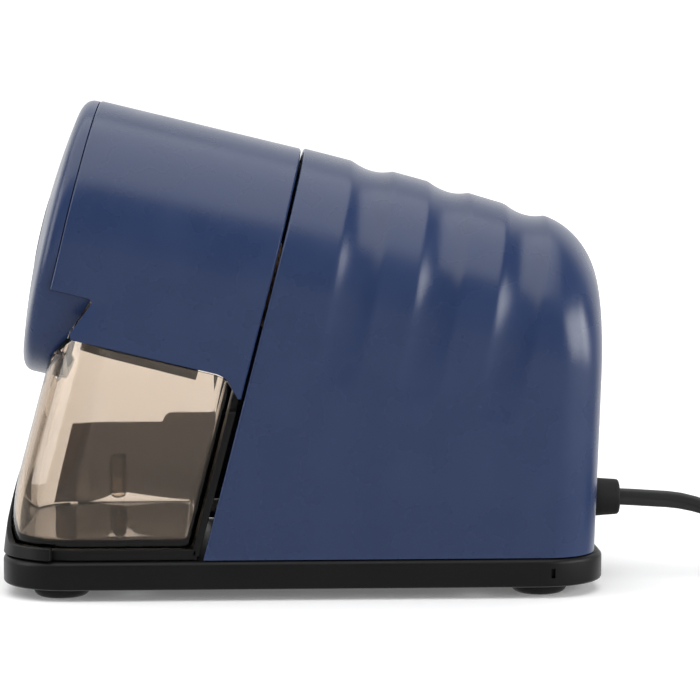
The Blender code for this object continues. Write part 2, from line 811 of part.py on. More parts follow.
def make_ring_gear(surface, barrel):
    module = 2 * (APEX - 17.0) * math.tan(RING_CONE) / RING_TEETH
    outline = gear_outline(RING_TEETH, module, -90.0 + 180.0 / RING_TEETH, 0.25, inside=True)
    ring = place("ring_gear", rod(RING_FRONT, RING_BACK, RING_OUTER, 48), surface, barrel)
    sizes = [(APEX - s) / (APEX - 17.0) for s in (RING_FRONT - 1, RING_BACK + 1)]
    teeth = along_x(outline, RING_FRONT - 1, RING_BACK + 1, *sizes)
    return cut(ring, teeth, barrel)


def cone_x(s):
    """Where a plane at s along the barrel meets the cutter's axis, in the cutter's own frame."""
    return -(APEX - s) / math.cos(CUTTER_TILT)


def make_cutter_pinion(surface, cutter_frame):
    slant = (APEX - 17.0) / math.cos(RING_CONE)
    module = 2 * slant * math.sin(PINION_CONE) / PINION_TEETH
    flat = slant * math.cos(PINION_CONE)
    front, back = -flat - 2.2, -flat + 2.2
    outline = gear_outline(PINION_TEETH, module, -90.0, 0.25)
    teeth = along_x(outline, front, back, -front / flat, -back / flat)
    pinion = place("cutter_pinion", teeth, surface, cutter_frame)
    return cut(pinion, rod(front - 1, back + 1, AXLE_RADIUS + GAP, 24), cutter_frame)


def make_helical_cutter(surface, cutter_frame):
    start, end = cone_x(CUTTER_FRONT), cone_x(CUTTER_BACK)
    blades, sections, twist = 10, 9, math.radians(110.0)
    shape = ((0.0, CUTTER_RADIUS), (0.28, CUTTER_RADIUS - 0.25), (0.62, CUTTER_RADIUS - 1.2))
    rings = []
    for i in range(sections):
        x = start + (end - start) * i / (sections - 1)
        ring = []
        for blade in range(blades):
            for share, radius in shape:
                turn = twist * i / (sections - 1) + 2 * math.pi * (blade + share) / blades
                ring.append((x, radius * math.cos(turn), radius * math.sin(turn)))
        rings.append(ring)
    cutter = place("helical_cutter", loft(rings), surface, cutter_frame, smooth=25.0)
    return cut(cutter, rod(start - 2, end + 2, AXLE_RADIUS + GAP, 20), cutter_frame)


def make_cutter_axle(surface, cutter_frame):
    return place("cutter_axle", rod(cone_x(13.2), cone_x(60.0), AXLE_RADIUS, 20), surface, cutter_frame)


def make_carrier(surface, barrel, cutter_frame):
    profile = [
        (20.4, 6.8),
        (20.4, CAGE_RADIUS - 0.8),
        (21.2, CAGE_RADIUS),
        (60.2, CAGE_RADIUS),
        (61.0, CAGE_RADIUS - 0.8),
        (61.0, TAIL_RADIUS),
        (74.6, TAIL_RADIUS),
        (74.6, 3.0),
        (56.0, 3.0),
        (56.0, 15.6),
        (25.6, 15.6),
        (25.6, 6.8),
    ]
    carrier = place("cutter_carrier", lathe(profile, 28), surface, barrel)
    cut(carrier, box((25.7, -11.0, -25.0), (55.9, 11.0, 25.0)), barrel)
    axle = rod(cone_x(10.0), cone_x(61.6), AXLE_RADIUS + GAP, 20)
    return cut(carrier, axle, cutter_frame)


def make_rear_bearing(surface, barrel):
    profile = [
        (61.6, TAIL_RADIUS + GAP),
        (61.6, 11.0),
        (65.9, 11.0),
        (65.9, 13.0),
        (67.4, 13.0),
        (67.4, TAIL_RADIUS + GAP),
    ]
    return place("carrier_rear_bearing", lathe(profile, 32), surface, barrel)


# ---------------------------------------------------------------- gear train and motor


def make_main_gear(surface, barrel):
    toward = math.degrees(math.atan2(IDLER_H, IDLER_Y))
    outline = gear_outline(MAIN_TEETH, MAIN_MODULE, toward)
    gear = place("main_gear", along_x(outline, 68.4, 73.0), surface, barrel)
    return cut(gear, rod(60.0, 80.0, TAIL_RADIUS + GAP, 32), barrel)


def make_compound_gear(surface, barrel):
    back = math.degrees(math.atan2(-IDLER_H, -IDLER_Y)) + 180.0 / IDLER_TEETH
    small = along_x(gear_outline(IDLER_TEETH, MAIN_MODULE, back), 67.8, 75.6)
    toward = math.degrees(math.atan2(MOTOR_H - IDLER_H, -IDLER_Y))
    wheel = along_x(gear_outline(WHEEL_TEETH, WHEEL_MODULE, toward), 75.4, 79.6)
    axis = (67.8, IDLER_Y, IDLER_H)
    gear = place("compound_gear", shifted(small, IDLER_Y, IDLER_H), surface, barrel, axis)
    join(gear, shifted(wheel, IDLER_Y, IDLER_H), barrel)
    return cut(gear, rod(60.0, 90.0, 2.3, 24, IDLER_Y, IDLER_H), barrel)


def make_idler_pin(surface, barrel):
    pin = rod(67.0, 88.6, 2.0, 20, IDLER_Y, IDLER_H)
    pin = place("idler_pin", pin, surface, barrel)
    collar = tube(80.2, 85.6, 1.9, 3.6, 20, IDLER_Y, IDLER_H)
    return join(pin, collar, barrel)


def make_gear_plate(surface, barrel):
    outline = [
        (-30.0, -74.0),
        (30.0, -74.0),
        (30.0, -20.0),
        (16.0, -4.0),
        (-28.0, -4.0),
        (-30.0, -8.0),
    ]
    plate = place("gear_plate", along_x(outline, 86.0, 88.8), surface, barrel)
    bosses = [rod(88.0, 97.6, 4.4, 20, side * 22.0, MOTOR_H) for side in (-1, 1)]
    join(plate, together(*bosses), barrel)
    holes = [rod(80.0, 100.0, 2.3, 20, side * 22.0, MOTOR_H) for side in (-1, 1)]
    holes.append(rod(80.0, 100.0, 4.0, 20, 0.0, MOTOR_H))
    holes.append(rod(80.0, 100.0, 2.3, 20, IDLER_Y, IDLER_H))
    return cut(plate, together(*holes), barrel)


def make_stator(surface, barrel):
    outline = [(-27, -16), (-22, -21), (22, -21), (27, -16), (27, 32), (-27, 32)]
    stack = along_x(outline, 104.0, 126.0)
    stator = place("stator_laminations", shifted(stack, 0.0, MOTOR_H), surface, barrel)
    window = box((100.0, -14.0, MOTOR_H + 17.3), (130.0, 14.0, MOTOR_H + 26.0))
    holes = [rod(100.0, 130.0, 2.3, 20, side * 22.0, MOTOR_H) for side in (-1, 1)]
    bore = rod(100.0, 130.0, 13.2, 28, 0.0, MOTOR_H)
    return cut(stator, together(window, bore, *holes), barrel)


def make_motor_coil(surface, barrel):
    low, high = MOTOR_H + 17.7, MOTOR_H + 39.8
    winding = chamfered_box((98.6, -13.0, low), (131.4, 13.0, high), 2.0)
    coil = place("motor_coil", winding, surface, barrel)
    limb = box((103.6, -20.0, MOTOR_H + 25.6), (126.4, 20.0, MOTOR_H + 32.4))
    return cut(coil, limb, barrel)


def make_bracket(name, surface, barrel, plate, spacer, hub):
    """A motor bracket: a bar with a bearing hub and two spacers against the stack."""
    outline = [(-27, -7), (-9, -10), (9, -10), (27, -7), (27, 7), (9, 10), (-9, 10), (-27, 7)]
    bar = shifted(along_x(outline, *plate), 0.0, MOTOR_H)
    bracket = place(name, bar, surface, barrel)
    added = [rod(*spacer, 4.4, 12, side * 22.0, MOTOR_H) for side in (-1, 1)]
    added.append(rod(*hub, 6.2, 16, 0.0, MOTOR_H))
    join(bracket, together(*added), barrel)
    holes = [rod(80.0, 150.0, 2.4, 12, side * 22.0, MOTOR_H) for side in (-1, 0, 1)]
    return cut(bracket, together(*holes), barrel)


def make_motor_screws(surface, barrel):
    for number, side in enumerate((-1, 1), 1):
        profile = [(84.6, 0.0), (84.6, 2.0), (132.4, 2.0), (132.4, 3.8), (134.8, 3.4), (134.8, 0.0)]
        place(f"motor_screw_{number}", lathe(profile, 20, side * 22.0, MOTOR_H), surface, barrel)


def make_rotor(steel, aluminium, brass, plastic, barrel):
    axis = (76.0, 0.0, MOTOR_H)
    place("rotor_shaft", rod(74.4, 146.0, 2.0, 20, 0.0, MOTOR_H), steel, barrel, axis)
    core = tube(105.0, 125.0, 2.3, 12.6, 28, 0.0, MOTOR_H)
    place("rotor_core", core, aluminium, barrel, axis)
    toward = math.degrees(math.atan2(IDLER_H - MOTOR_H, IDLER_Y)) + 180.0 / MOTOR_TEETH
    outline = gear_outline(MOTOR_TEETH, WHEEL_MODULE, toward)
    teeth = shifted(along_x(outline, 75.0, 81.0), 0.0, MOTOR_H)
    pinion = place("motor_pinion", teeth, brass, barrel, axis)
    cut(pinion, rod(70.0, 90.0, 2.3, 20, 0.0, MOTOR_H), barrel)
    hub = [(136.6, 2.3), (136.6, 5.0), (141.0, 5.0), (141.0, 20.0), (142.2, 20.0), (142.2, 2.3)]
    fan = place("cooling_fan", lathe(hub, 24, 0.0, MOTOR_H), plastic, barrel, axis)
    blades = []
    for i in range(8):
        points, faces = box((136.6, 4.0, -0.6), (141.4, 19.4, 0.6))
        turn = 2 * math.pi * i / 8
        c, s = math.cos(turn), math.sin(turn)
        blades.append(([(x, y * c - z * s, MOTOR_H + y * s + z * c) for x, y, z in points], faces))
    join(fan, together(*blades), barrel)


# ---------------------------------------------------------------- receptacle interlock


def make_interlock(black, white):
    wall = parting_x(22.0) - PARTING_GAP
    body = chamfered_box((wall + 3.4, -3.2, 17.0), (wall + 16.0, 3.2, 27.0), 0.5)
    switch = place("interlock_switch", body, black)
    cut(switch, box((wall, -2.1, 19.9), (wall + 8.0, 2.1, 24.1)))
    start = tray_back(23.8) + 0.35
    origin = (start, 0.0, 22.0)
    stem = box((start, -1.8, 20.2), (wall + 6.0, 1.8, 23.8))
    place("interlock_plunger", stem, white, None, origin)


# ---------------------------------------------------------------- lead and plug


def smooth_line(route, step):
    """Points along a smooth curve through a route, about step apart."""
    knots = [Vector(p) for p in route]
    knots = [knots[0] * 2 - knots[1], *knots, knots[-1] * 2 - knots[-2]]
    fine = []
    for a, b, c, d in zip(knots, knots[1:], knots[2:], knots[3:]):
        for i in range(20):
            t = i / 20
            bend = (a * 2 - b * 5 + c * 4 - d) * t * t + (b * 3 - a - c * 3 + d) * t * t * t
            fine.append((b * 2 + (c - a) * t + bend) / 2)
    fine.append(knots[-2])
    kept, walked = [fine[0]], 0.0
    for a, b in zip(fine, fine[1:]):
        walked += (b - a).length
        if walked >= step:
            kept.append(b)
            walked = 0.0
    kept[-1] = fine[-1]
    return kept


def make_cord_run(surface):
    line = smooth_line(ROUTE, CORD_STEP)
    curve = bpy.data.curves.new("cord_run", "CURVE")
    curve.dimensions = "3D"
    curve.bevel_depth = CORD_RADIUS * MM
    curve.bevel_resolution = 2
    curve.use_fill_caps = True
    spline = curve.splines.new("POLY")
    spline.points.add(len(line) - 1)
    for point, at in zip(spline.points, line):
        point.co = (*(at * MM), 1.0)
    curve.materials.append(surface)
    cord = bpy.data.objects.new("cord_run", curve)
    bpy.context.scene.collection.objects.link(cord)
    return cord


def make_cord_coil(surface):
    low, high = 0.1, COIL_HEIGHT
    inner, outer = COIL_RADIUS - COIL_HALF_BAND, COIL_RADIUS + COIL_HALF_BAND
    profile = [
        (low, inner + 1.5),
        (low, outer - 1.5),
        (low + 1.5, outer),
        (high - 1.5, outer),
        (high, outer - 1.5),
        (high, inner + 1.5),
        (high - 1.5, inner),
        (low + 1.5, inner),
    ]
    return place("cord_coil", upright(lathe(profile, 24), *COIL_CENTRE), surface)


def make_cord_tie(surface):
    """A flat band round one side of the coil, standing a little off it."""
    x, y = COIL_CENTRE
    inner, outer = COIL_RADIUS - COIL_HALF_BAND - 2 * GAP, COIL_RADIUS + COIL_HALF_BAND + GAP
    low, high = 1.6, COIL_HEIGHT + GAP
    thick = 0.8
    loop = [(inner, low), (inner, high), (outer, high), (outer, low)]
    around = [
        (inner - thick, low),
        (inner - thick, high + thick),
        (outer + thick, high + thick),
        (outer + thick, low),
    ]
    outline = loop + list(reversed(around))
    band = loft([[(x + reach, y + side, z) for reach, z in outline] for side in (-2.5, 2.5)])
    return place("cord_tie", band, surface)


def make_plug(rubber, brass):
    face = COIL_CENTRE[0] - 20.0
    y = COIL_CENTRE[1] + COIL_RADIUS + COIL_HALF_BAND - 2.8
    sections = (
        (face, 3.0, 3.0),
        (face - 6.0, 3.6, 3.6),
        (face - 10.0, 8.6, 5.6),
        (face - 24.0, 9.4, 6.0),
        (face - 26.0, 8.8, 5.4),
    )
    rings = []
    for x, wide, tall in sections:
        plan = rounded_plan(-wide, wide, tall, min(tall, wide) * 0.6, min(tall, wide) * 0.6, 4)
        rings.append([(x, y + a, 6.2 + b) for a, b in plan])
    place("plug_body", loft(rings), rubber)
    for number, side in enumerate((-1, 1), 1):
        tip = face - 26.0 - GAP
        low = (tip - 17.0, y + side * 6.35 - 0.75, 6.2 - 3.2)
        high = (tip, y + side * 6.35 + 0.75, 6.2 + 3.2)
        place(f"plug_blade_{number}", box(low, high), brass)


def make_strain_relief(surface):
    profile = [
        (73.5, 0.0),
        (73.5, 8.0),
        (84.0, 8.0),
        (84.0, 5.6),
        (87.7, 5.6),
        (87.7, 6.0),
        (RELIEF_END - 1.0, 5.4),
        (RELIEF_END, 4.6),
        (RELIEF_END, 0.0),
    ]
    return place("strain_relief", lathe(profile, 20, 0.0, RELIEF_Z), surface)


# ---------------------------------------------------------------- the whole


def main():
    clear_scene()
    navy = look("navy moulding", (0.040, 0.060, 0.130), 0.55)
    black = look("black moulding", (0.013, 0.013, 0.014), 0.45)
    smoke = look("smoke clear moulding", (0.10, 0.085, 0.075), 0.12, 0.0, 0.55)
    rubber = look("black rubber", (0.016, 0.016, 0.017), 0.75)
    vinyl = look("black vinyl lead", (0.014, 0.014, 0.015), 0.5)
    steel = look("bright steel", (0.55, 0.55, 0.56), 0.3, 1.0)
    tool_steel = look("ground tool steel", (0.36, 0.36, 0.38), 0.28, 1.0)
    brass = look("brass", (0.75, 0.55, 0.25), 0.3, 1.0)
    cast = look("cast zinc", (0.45, 0.46, 0.48), 0.45, 1.0)
    nylon = look("natural nylon", (0.78, 0.76, 0.70), 0.5)
    laminations = look("lamination steel", (0.20, 0.19, 0.19), 0.5, 0.9)
    copper = look("enamelled copper winding", (0.45, 0.14, 0.06), 0.35, 0.6)
    bronze = look("sintered bronze", (0.50, 0.33, 0.17), 0.55, 0.9)
    barrel = frame_empty("barrel_axis", (FACE_X, 0.0, FACE_Z), BARREL_TILT)
    cutter_frame = frame_empty("cutter_axis", (APEX, 0.0, 0.0), -CUTTER_TILT, barrel)

    make_base(black)
    make_feet(rubber)
    make_base_screws(steel)
    make_front_housing(navy, barrel)
    make_front_cap(navy, barrel)
    make_rear_housing(navy)
    make_bay_frame(black, barrel)
    make_receptacle(smoke, barrel)
    make_pull(black)

    make_pencil_guide(black, barrel)
    make_start_lever(nylon, barrel)
    make_start_switch(black, barrel)
    make_ring_gear(cast, barrel)
    make_cutter_pinion(tool_steel, cutter_frame)
    make_helical_cutter(tool_steel, cutter_frame)
    make_cutter_axle(steel, cutter_frame)
    make_carrier(cast, barrel, cutter_frame)
    make_rear_bearing(bronze, barrel)

    make_main_gear(nylon, barrel)
    make_compound_gear(nylon, barrel)
    make_idler_pin(steel, barrel)
    make_gear_plate(steel, barrel)
    make_stator(laminations, barrel)
    make_motor_coil(copper, barrel)
    make_bracket("motor_front_bracket", cast, barrel, (98.0, 100.4), (100.0, 103.7), (95.0, 103.4))
    make_bracket("motor_rear_bracket", cast, barrel, (129.6, 132.0), (126.3, 130.0), (126.6, 135.0))
    make_motor_screws(steel, barrel)
    make_rotor(steel, laminations, brass, black, barrel)
    make_interlock(black, nylon)

    make_strain_relief(rubber)
    make_cord_run(vinyl)
    make_cord_coil(vinyl)
    make_cord_tie(black)
    make_plug(vinyl, brass)


main()
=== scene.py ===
"""Looks for an electric pencil sharpener with a see-through shavings drawer.

Shapes are worked out in millimetres and turned into metres where a mesh is made. The pencil goes in
at -X, the lead leaves at +X and +Z is up. The barrel has a frame of its own: s runs back along the
pencil's axis from the middle of the front face, and h is square to it.
"""

import json
import math

import bmesh
import bpy
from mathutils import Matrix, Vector


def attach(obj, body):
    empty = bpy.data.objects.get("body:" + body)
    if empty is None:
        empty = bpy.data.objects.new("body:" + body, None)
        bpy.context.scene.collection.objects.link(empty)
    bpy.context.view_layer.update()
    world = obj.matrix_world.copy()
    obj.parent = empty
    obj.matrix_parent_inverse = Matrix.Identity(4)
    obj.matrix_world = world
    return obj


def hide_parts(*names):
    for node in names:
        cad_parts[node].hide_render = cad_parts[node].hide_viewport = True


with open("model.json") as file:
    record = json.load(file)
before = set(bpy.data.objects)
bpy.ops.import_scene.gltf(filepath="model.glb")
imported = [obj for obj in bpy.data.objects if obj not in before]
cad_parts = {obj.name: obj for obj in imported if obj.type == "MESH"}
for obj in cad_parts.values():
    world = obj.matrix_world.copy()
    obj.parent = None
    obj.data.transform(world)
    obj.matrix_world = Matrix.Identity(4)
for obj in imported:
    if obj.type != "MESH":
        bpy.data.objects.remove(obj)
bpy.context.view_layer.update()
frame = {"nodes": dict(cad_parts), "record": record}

MM = 0.001
GAP = 0.3

# Base and feet
HALF_LENGTH = 89.0
BASE_HALF_WIDTH = 43.2
BASE_CORNER = 20.0
BASE_BOTTOM = 3.3
BASE_TOP = 11.6
BASE_LEDGE = 1.6
BASE_WALL = 2.6
FOOT_RADIUS = 8.4
FOOT_X = (-71.4, 69.5)
FOOT_Y = 30.0
SCREW_PLACES = ((-50.0, -30.0), (-50.0, 30.0), (50.0, -35.2), (50.0, 35.2))

# Barrel
FACE_X = -74.4
FACE_Z = 105.1
BARREL_TILT = math.radians(13.5)
BARREL_RADIUS = 42.2
SHELL = 2.2
CAP_RADIUS = 41.9
CAP_BULGE = 4.0
CAP_SEAM = 4.2
SEAM_GAP = 0.14
CAP_DEPTH = 12.0
SKIRT_STEP = -13.6
WINDOW_EDGE = -26.4
SKIRT_FRONT = 17.0
SKIRT_TOE = 12.6
SKIRT_REACH = SKIRT_FRONT - GAP

# Joint between the front and rear housings
PARTING_X = -7.0
PARTING_Z = 102.0
PARTING_SLOPE = math.tan(math.radians(14.5))
PARTING_GAP = 0.9

# Rear housing
REAR_HALF_WIDTH = 42.2
REAR_FILLET = 16.0
REAR_X = 86.4
REAR_LEAN = 0.0353
ROOF_Z = 131.0
GROOVE_PLACES = (16.3, 40.7, 65.2)
GROOVE_SLOPE = 0.205
GROOVE_WIDTH = 13.0
GROOVE_DEPTH = 1.5
GROOVE_ENDS = (62.2, 56.5, 50.8)
GROOVE_FADE = 26.0
GROOVE_END_SHARE = 0.2

# Bay and receptacle
BAY_PLATE = 2.2
BAY_FLOOR_TOP = 15.0
BAY_SIDE_FRONT = -71.0
BAY_SIDE_BROW = -74.0
BAY_SIDE_CHIN = -80.5
BAY_SIDE_LOW = 16.3
BAY_SIDE_TOP = 43.0
BAY_SIDE_STEP = 46.0
BAY_SIDE_STEP_X = -40.6
BAY_SIDE_OUTER = 42.9
TRAY_HALF_WIDTH = 41.4
TRAY_CORNER = 20.0
TRAY_WALL = 2.0
TRAY_BOTTOM = 15.3
TRAY_TOP = 78.0
TRAY_KNEE_Z = 38.0
TRAY_KNEE_X = -83.6
TRAY_SLOPE = 0.27
TRAY_CURVE = 0.00624
PULL_BOTTOM = 12.0
PULL_APEX = 35.5
PULL_LOW = 15.6
PULL_ARCH = 0.7

# Lead: a flat twin, its route to the coil, and the coil
LEAD_LOBE = 1.35
LEAD_SPREAD = 1.25
RELIEF_Z = 23.8
RELIEF_END = 97.5
COIL_CENTRE = (200.0, 13.9)
COIL_RADIUS = 28.0
COIL_SWING = 6.1
COIL_TURNS = 9.5
COIL_LAYERS = (1.5, 4.4, 7.3, 10.2)
ROUTE = (
    (97.8, 0.0, 23.8),
    (106.0, 0.0, 23.3),
    (117.7, -0.3, 22.2),
    (130.0, -2.0, 18.3),
    (142.0, -5.5, 11.2),
    (153.0, -9.8, 5.2),
    (164.0, -14.2, 2.7),
    (174.0, -17.6, 1.9),
)
TAIL = ((195.0, 48.2, 9.6), (188.0, 48.0, 7.8), (182.0, 47.8, 6.3), (180.0, 47.8, 6.2))

# Room: how bright the world is round the object, below the horizon, behind it and to the eye
SKY_ROOM = 0.06
SKY_GROUND = 0.42
SKY_BACKDROP = 1.15
SKY_SEEN = 1.05
FLOOR_HALF = 4.0
FLOOR_THICK = 0.02
FLOOR_WHITE = 0.9


# ---------------------------------------------------------------- camera


def aim(obj, target):
    """Turns a camera or a light so that it faces a point."""
    away = obj.location - Vector(target)
    obj.rotation_mode = "QUATERNION"
    obj.rotation_quaternion = away.to_track_quat("Z", "Y")


def make_camera():
    camera = bpy.data.objects.new("camera", bpy.data.cameras.new("camera"))
    bpy.context.scene.collection.objects.link(camera)
    camera.data.lens = 135.3
    camera.data.sensor_width = 36.0
    camera.location = (-0.0207, -0.799, 0.140)
    aim(camera, (0.0148, 0.0, 0.0694))
    bpy.context.scene.camera = camera


# ---------------------------------------------------------------- shapes: (points, faces)


def bridge(a, b):
    """Faces between two closed rings of point numbers. A ring of one point is a tip."""
    if len(a) == 1:
        return [(a[0], b[(i + 1) % len(b)], b[i]) for i in range(len(b))]
    if len(b) == 1:
        return [(a[i], a[(i + 1) % len(a)], b[0]) for i in range(len(a))]
    count = len(a)
    return [(a[i], a[(i + 1) % count], b[(i + 1) % count], b[i]) for i in range(count)]


def loft(rings, ends="capped"):
    """A skin through rings of points. The ends are capped, or joined to each other."""
    points = [tuple(p) for ring in rings for p in ring]
    numbered, first = [], 0
    for ring in rings:
        numbered.append(list(range(first, first + len(ring))))
        first += len(ring)
    faces = []
    for a, b in zip(numbered, numbered[1:]):
        faces += bridge(a, b)
    if ends == "joined":
        faces += bridge(numbered[-1], numbered[0])
    else:
        faces += [ring for ring in (numbered[0], numbered[-1]) if len(ring) > 1]
    return points, faces


def together(*shapes):
    points, faces = [], []
    for more_points, more_faces in shapes:
        first = len(points)
        points += list(more_points)
        faces += [[first + i for i in face] for face in more_faces]
    return points, faces


def lathe(profile, segments=96, y=0.0, h=0.0):
    """A profile of (x, radius) turned about a line along X. One off the axis makes a ring."""
    rings = []
    for x, radius in profile:
        if radius == 0.0:
            rings.append([(x, y, h)])
            continue
        turns = [2 * math.pi * i / segments for i in range(segments)]
        rings.append([(x, y + radius * math.cos(t), h + radius * math.sin(t)) for t in turns])
    return loft(rings, "capped" if profile[0][1] == 0.0 else "joined")


def upright(shape, x, y):
    """A shape turned about X, stood on end with its axis along Z at (x, y)."""
    points, faces = shape
    return [(x + p[2], y + p[1], p[0]) for p in points], faces


def on_barrel(shape):
    """A shape given along the barrel's frame, put where the barrel is."""
    points, faces = shape
    c, s = math.cos(BARREL_TILT), math.sin(BARREL_TILT)
    return [(FACE_X + p[0] * c + p[2] * s, p[1], FACE_Z - p[0] * s + p[2] * c) for p in points], faces


def box(low, high):
    outline = [(low[0], low[1]), (high[0], low[1]), (high[0], high[1]), (low[0], high[1])]
    return loft([[(x, y, z) for x, y in outline] for z in (low[2], high[2])])


def across_y(outline, y0, y1):
    """An outline of (x, z) drawn out along Y."""
    return loft([[(x, y, z) for x, z in outline] for y in (y0, y1)])


def along_x(outline, x0, x1):
    """An outline of (y, z) drawn out along X."""
    return loft([[(x, y, z) for y, z in outline] for x in (x0, x1)])


def arc(centre, radius, start, end, segments):
    """Points of an arc, with its angles in degrees."""
    turns = [math.radians(start + (end - start) * i / segments) for i in range(segments + 1)]
    return [(centre[0] + radius * math.cos(t), centre[1] + radius * math.sin(t)) for t in turns]


def straight(a, b, pieces):
    """Points from a up to b, b left out."""
    return [tuple(p + (q - p) * i / pieces for p, q in zip(a, b)) for i in range(pieces)]


def rounded_plan(x0, x1, half, front, rear, segments=24, side=24):
    """A rectangle in plan with its corners rounded and its sides divided."""
    corners = (
        arc((x1 - rear, -half + rear), rear, -90, 0, segments),
        arc((x1 - rear, half - rear), rear, 0, 90, segments),
        arc((x0 + front, half - front), front, 90, 180, segments),
        arc((x0 + front, -half + front), front, 180, 270, segments),
    )
    plan = []
    for corner, following in zip(corners, corners[1:] + corners[:1]):
        plan += corner[:-1] + straight(corner[-1], following[0], side)
    return plan


def thick_sheet(outer, inner, folded=False):
    """A wall between two grids of points. A folded one closes on itself at its last row."""
    rows, columns = len(outer), len(outer[0])
    points = [p for row in outer for p in row] + [p for row in inner for p in row]

    def number(side, row, column):
        return (side * rows + row) * columns + column

    faces = []
    for side in (0, 1):
        for r in range(rows - 1):
            for c in range(columns - 1):
                corners = ((r, c), (r, c + 1), (r + 1, c + 1), (r + 1, c))
                faces.append([number(side, *corner) for corner in corners])
    rim = [(0, c) for c in range(columns)]
    rim += [(r, columns - 1) for r in range(1, rows)]
    back = [(r, 0) for r in range(rows - 1, -1, -1)]
    if not folded:
        back = [(rows - 1, c) for c in range(columns - 2, 0, -1)] + back
    rim_pairs = list(zip(rim, rim[1:])) + list(zip(back, back[1:]))
    if not folded:
        rim_pairs.append((rim[-1], back[0]))
    for a, b in rim_pairs:
        faces.append([number(0, *a), number(0, *b), number(1, *b), number(1, *a)])
    return points, faces


# ---------------------------------------------------------------- pieces


def mesh_of(name, shape, smooth):
    points, faces = shape
    mesh = bpy.data.meshes.new(name)
    mesh.from_pydata([Vector(p) * MM for p in points], [], faces)
    work = bmesh.new()
    work.from_mesh(mesh)
    bmesh.ops.remove_doubles(work, verts=work.verts, dist=1e-7)
    bmesh.ops.dissolve_degenerate(work, edges=work.edges, dist=1e-8)
    bmesh.ops.recalc_face_normals(work, faces=work.faces)
    work.to_mesh(mesh)
    work.free()
    mesh.shade_smooth()
    mesh.set_sharp_from_angle(angle=math.radians(smooth))
    return mesh


def settle(obj):
    """Makes an object's modifiers part of its mesh."""
    graph = bpy.context.evaluated_depsgraph_get()
    mesh = bpy.data.meshes.new_from_object(obj.evaluated_get(graph))
    obj.modifiers.clear()
    obj.data = mesh


def cut_away(obj, shape):
    tool = bpy.data.objects.new("tool", mesh_of("tool", shape, 30.0))
    bpy.context.scene.collection.objects.link(tool)
    modifier = obj.modifiers.new("cut", "BOOLEAN")
    modifier.operation = "DIFFERENCE"
    modifier.solver = "EXACT"
    modifier.object = tool
    settle(obj)
    bpy.data.objects.remove(tool, do_unlink=True)


def soften(obj, width, segments=3, angle=35.0):
    """Rounds an object's sharp edges."""
    modifier = obj.modifiers.new("soften", "BEVEL")
    modifier.width = width * MM
    modifier.segments = segments
    modifier.limit_method = "ANGLE"
    modifier.angle_limit = math.radians(angle)
    modifier.harden_normals = False
    settle(obj)


def piece(name, shape, material, body, nodes=(), cuts=(), edge=0.0, smooth=35.0):
    """A piece of the object: cut, softened, given its finish and set to ride on a body."""
    obj = bpy.data.objects.new(name, mesh_of(name, shape, smooth))
    bpy.context.scene.collection.objects.link(obj)
    for tool in cuts:
        cut_away(obj, tool)
    if edge:
        soften(obj, edge)
    obj.data.shade_smooth()
    obj.data.set_sharp_from_angle(angle=math.radians(smooth))
    obj.data.materials.clear()
    obj.data.materials.append(material)
    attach(obj, body)
    if nodes:
        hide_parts(*nodes)
    return obj


# ---------------------------------------------------------------- finishes


def add(tree, kind, settings=None, **inputs):
    """A shader node, with its properties and its sockets set."""
    node = tree.nodes.new(kind)
    for key, value in (settings or {}).items():
        setattr(node, key, value)
    for key, value in inputs.items():
        node.inputs[key.replace("_", " ")].default_value = value
    return node


def coordinates(tree, stretch, turn):
    where = add(tree, "ShaderNodeTexCoord")
    mapped = add(tree, "ShaderNodeMapping", Rotation=(0.0, turn, 0.0), Scale=stretch)
    tree.links.new(where.outputs["Object"], mapped.inputs["Vector"])
    return mapped.outputs["Vector"]


def noise(tree, vector, scale, detail=2.0, rough=0.5):
    made = add(tree, "ShaderNodeTexNoise", Scale=scale, Detail=detail, Roughness=rough)
    tree.links.new(vector, made.inputs["Vector"])
    return made.outputs["Fac"]


def spread(tree, value, low, high, to_low, to_high):
    """A value moved from one range to another, held at its ends."""
    made = add(tree, "ShaderNodeMapRange", {"interpolation_type": "SMOOTHSTEP"})
    for key, number in (("From Min", low), ("From Max", high), ("To Min", to_low), ("To Max", to_high)):
        made.inputs[key].default_value = number
    tree.links.new(value, made.inputs["Value"])
    return made.outputs["Result"]


def combined(tree, operation, a, b):
    """Two values made one by a math node."""
    made = add(tree, "ShaderNodeMath", {"operation": operation})
    tree.links.new(a, made.inputs[0])
    tree.links.new(b, made.inputs[1])
    return made.outputs["Value"]


def mixed(tree, factor, a, b):
    """One colour turning into another. Each is a colour or a socket."""
    made = add(tree, "ShaderNodeMix", {"data_type": "RGBA"})
    tree.links.new(factor, made.inputs["Factor"])
    for socket, colour in ((made.inputs[6], a), (made.inputs[7], b)):
        if isinstance(colour, tuple):
            socket.default_value = (*colour, 1.0)
        else:
            tree.links.new(colour, socket)
    return made.outputs[2]


def shade(colour, share):
    return tuple(min(1.0, c * share) for c in colour)


def bumped(tree, heights, shader):
    """Bump nodes in a chain: (height, strength, depth in mm) for each."""
    normal = None
    for height, strength, depth in heights:
        made = add(tree, "ShaderNodeBump", Strength=strength, Distance=depth * MM)
        tree.links.new(height, made.inputs["Height"])
        if normal:
            tree.links.new(normal, made.inputs["Normal"])
        normal = made.outputs["Normal"]
    tree.links.new(normal, shader.inputs["Normal"])


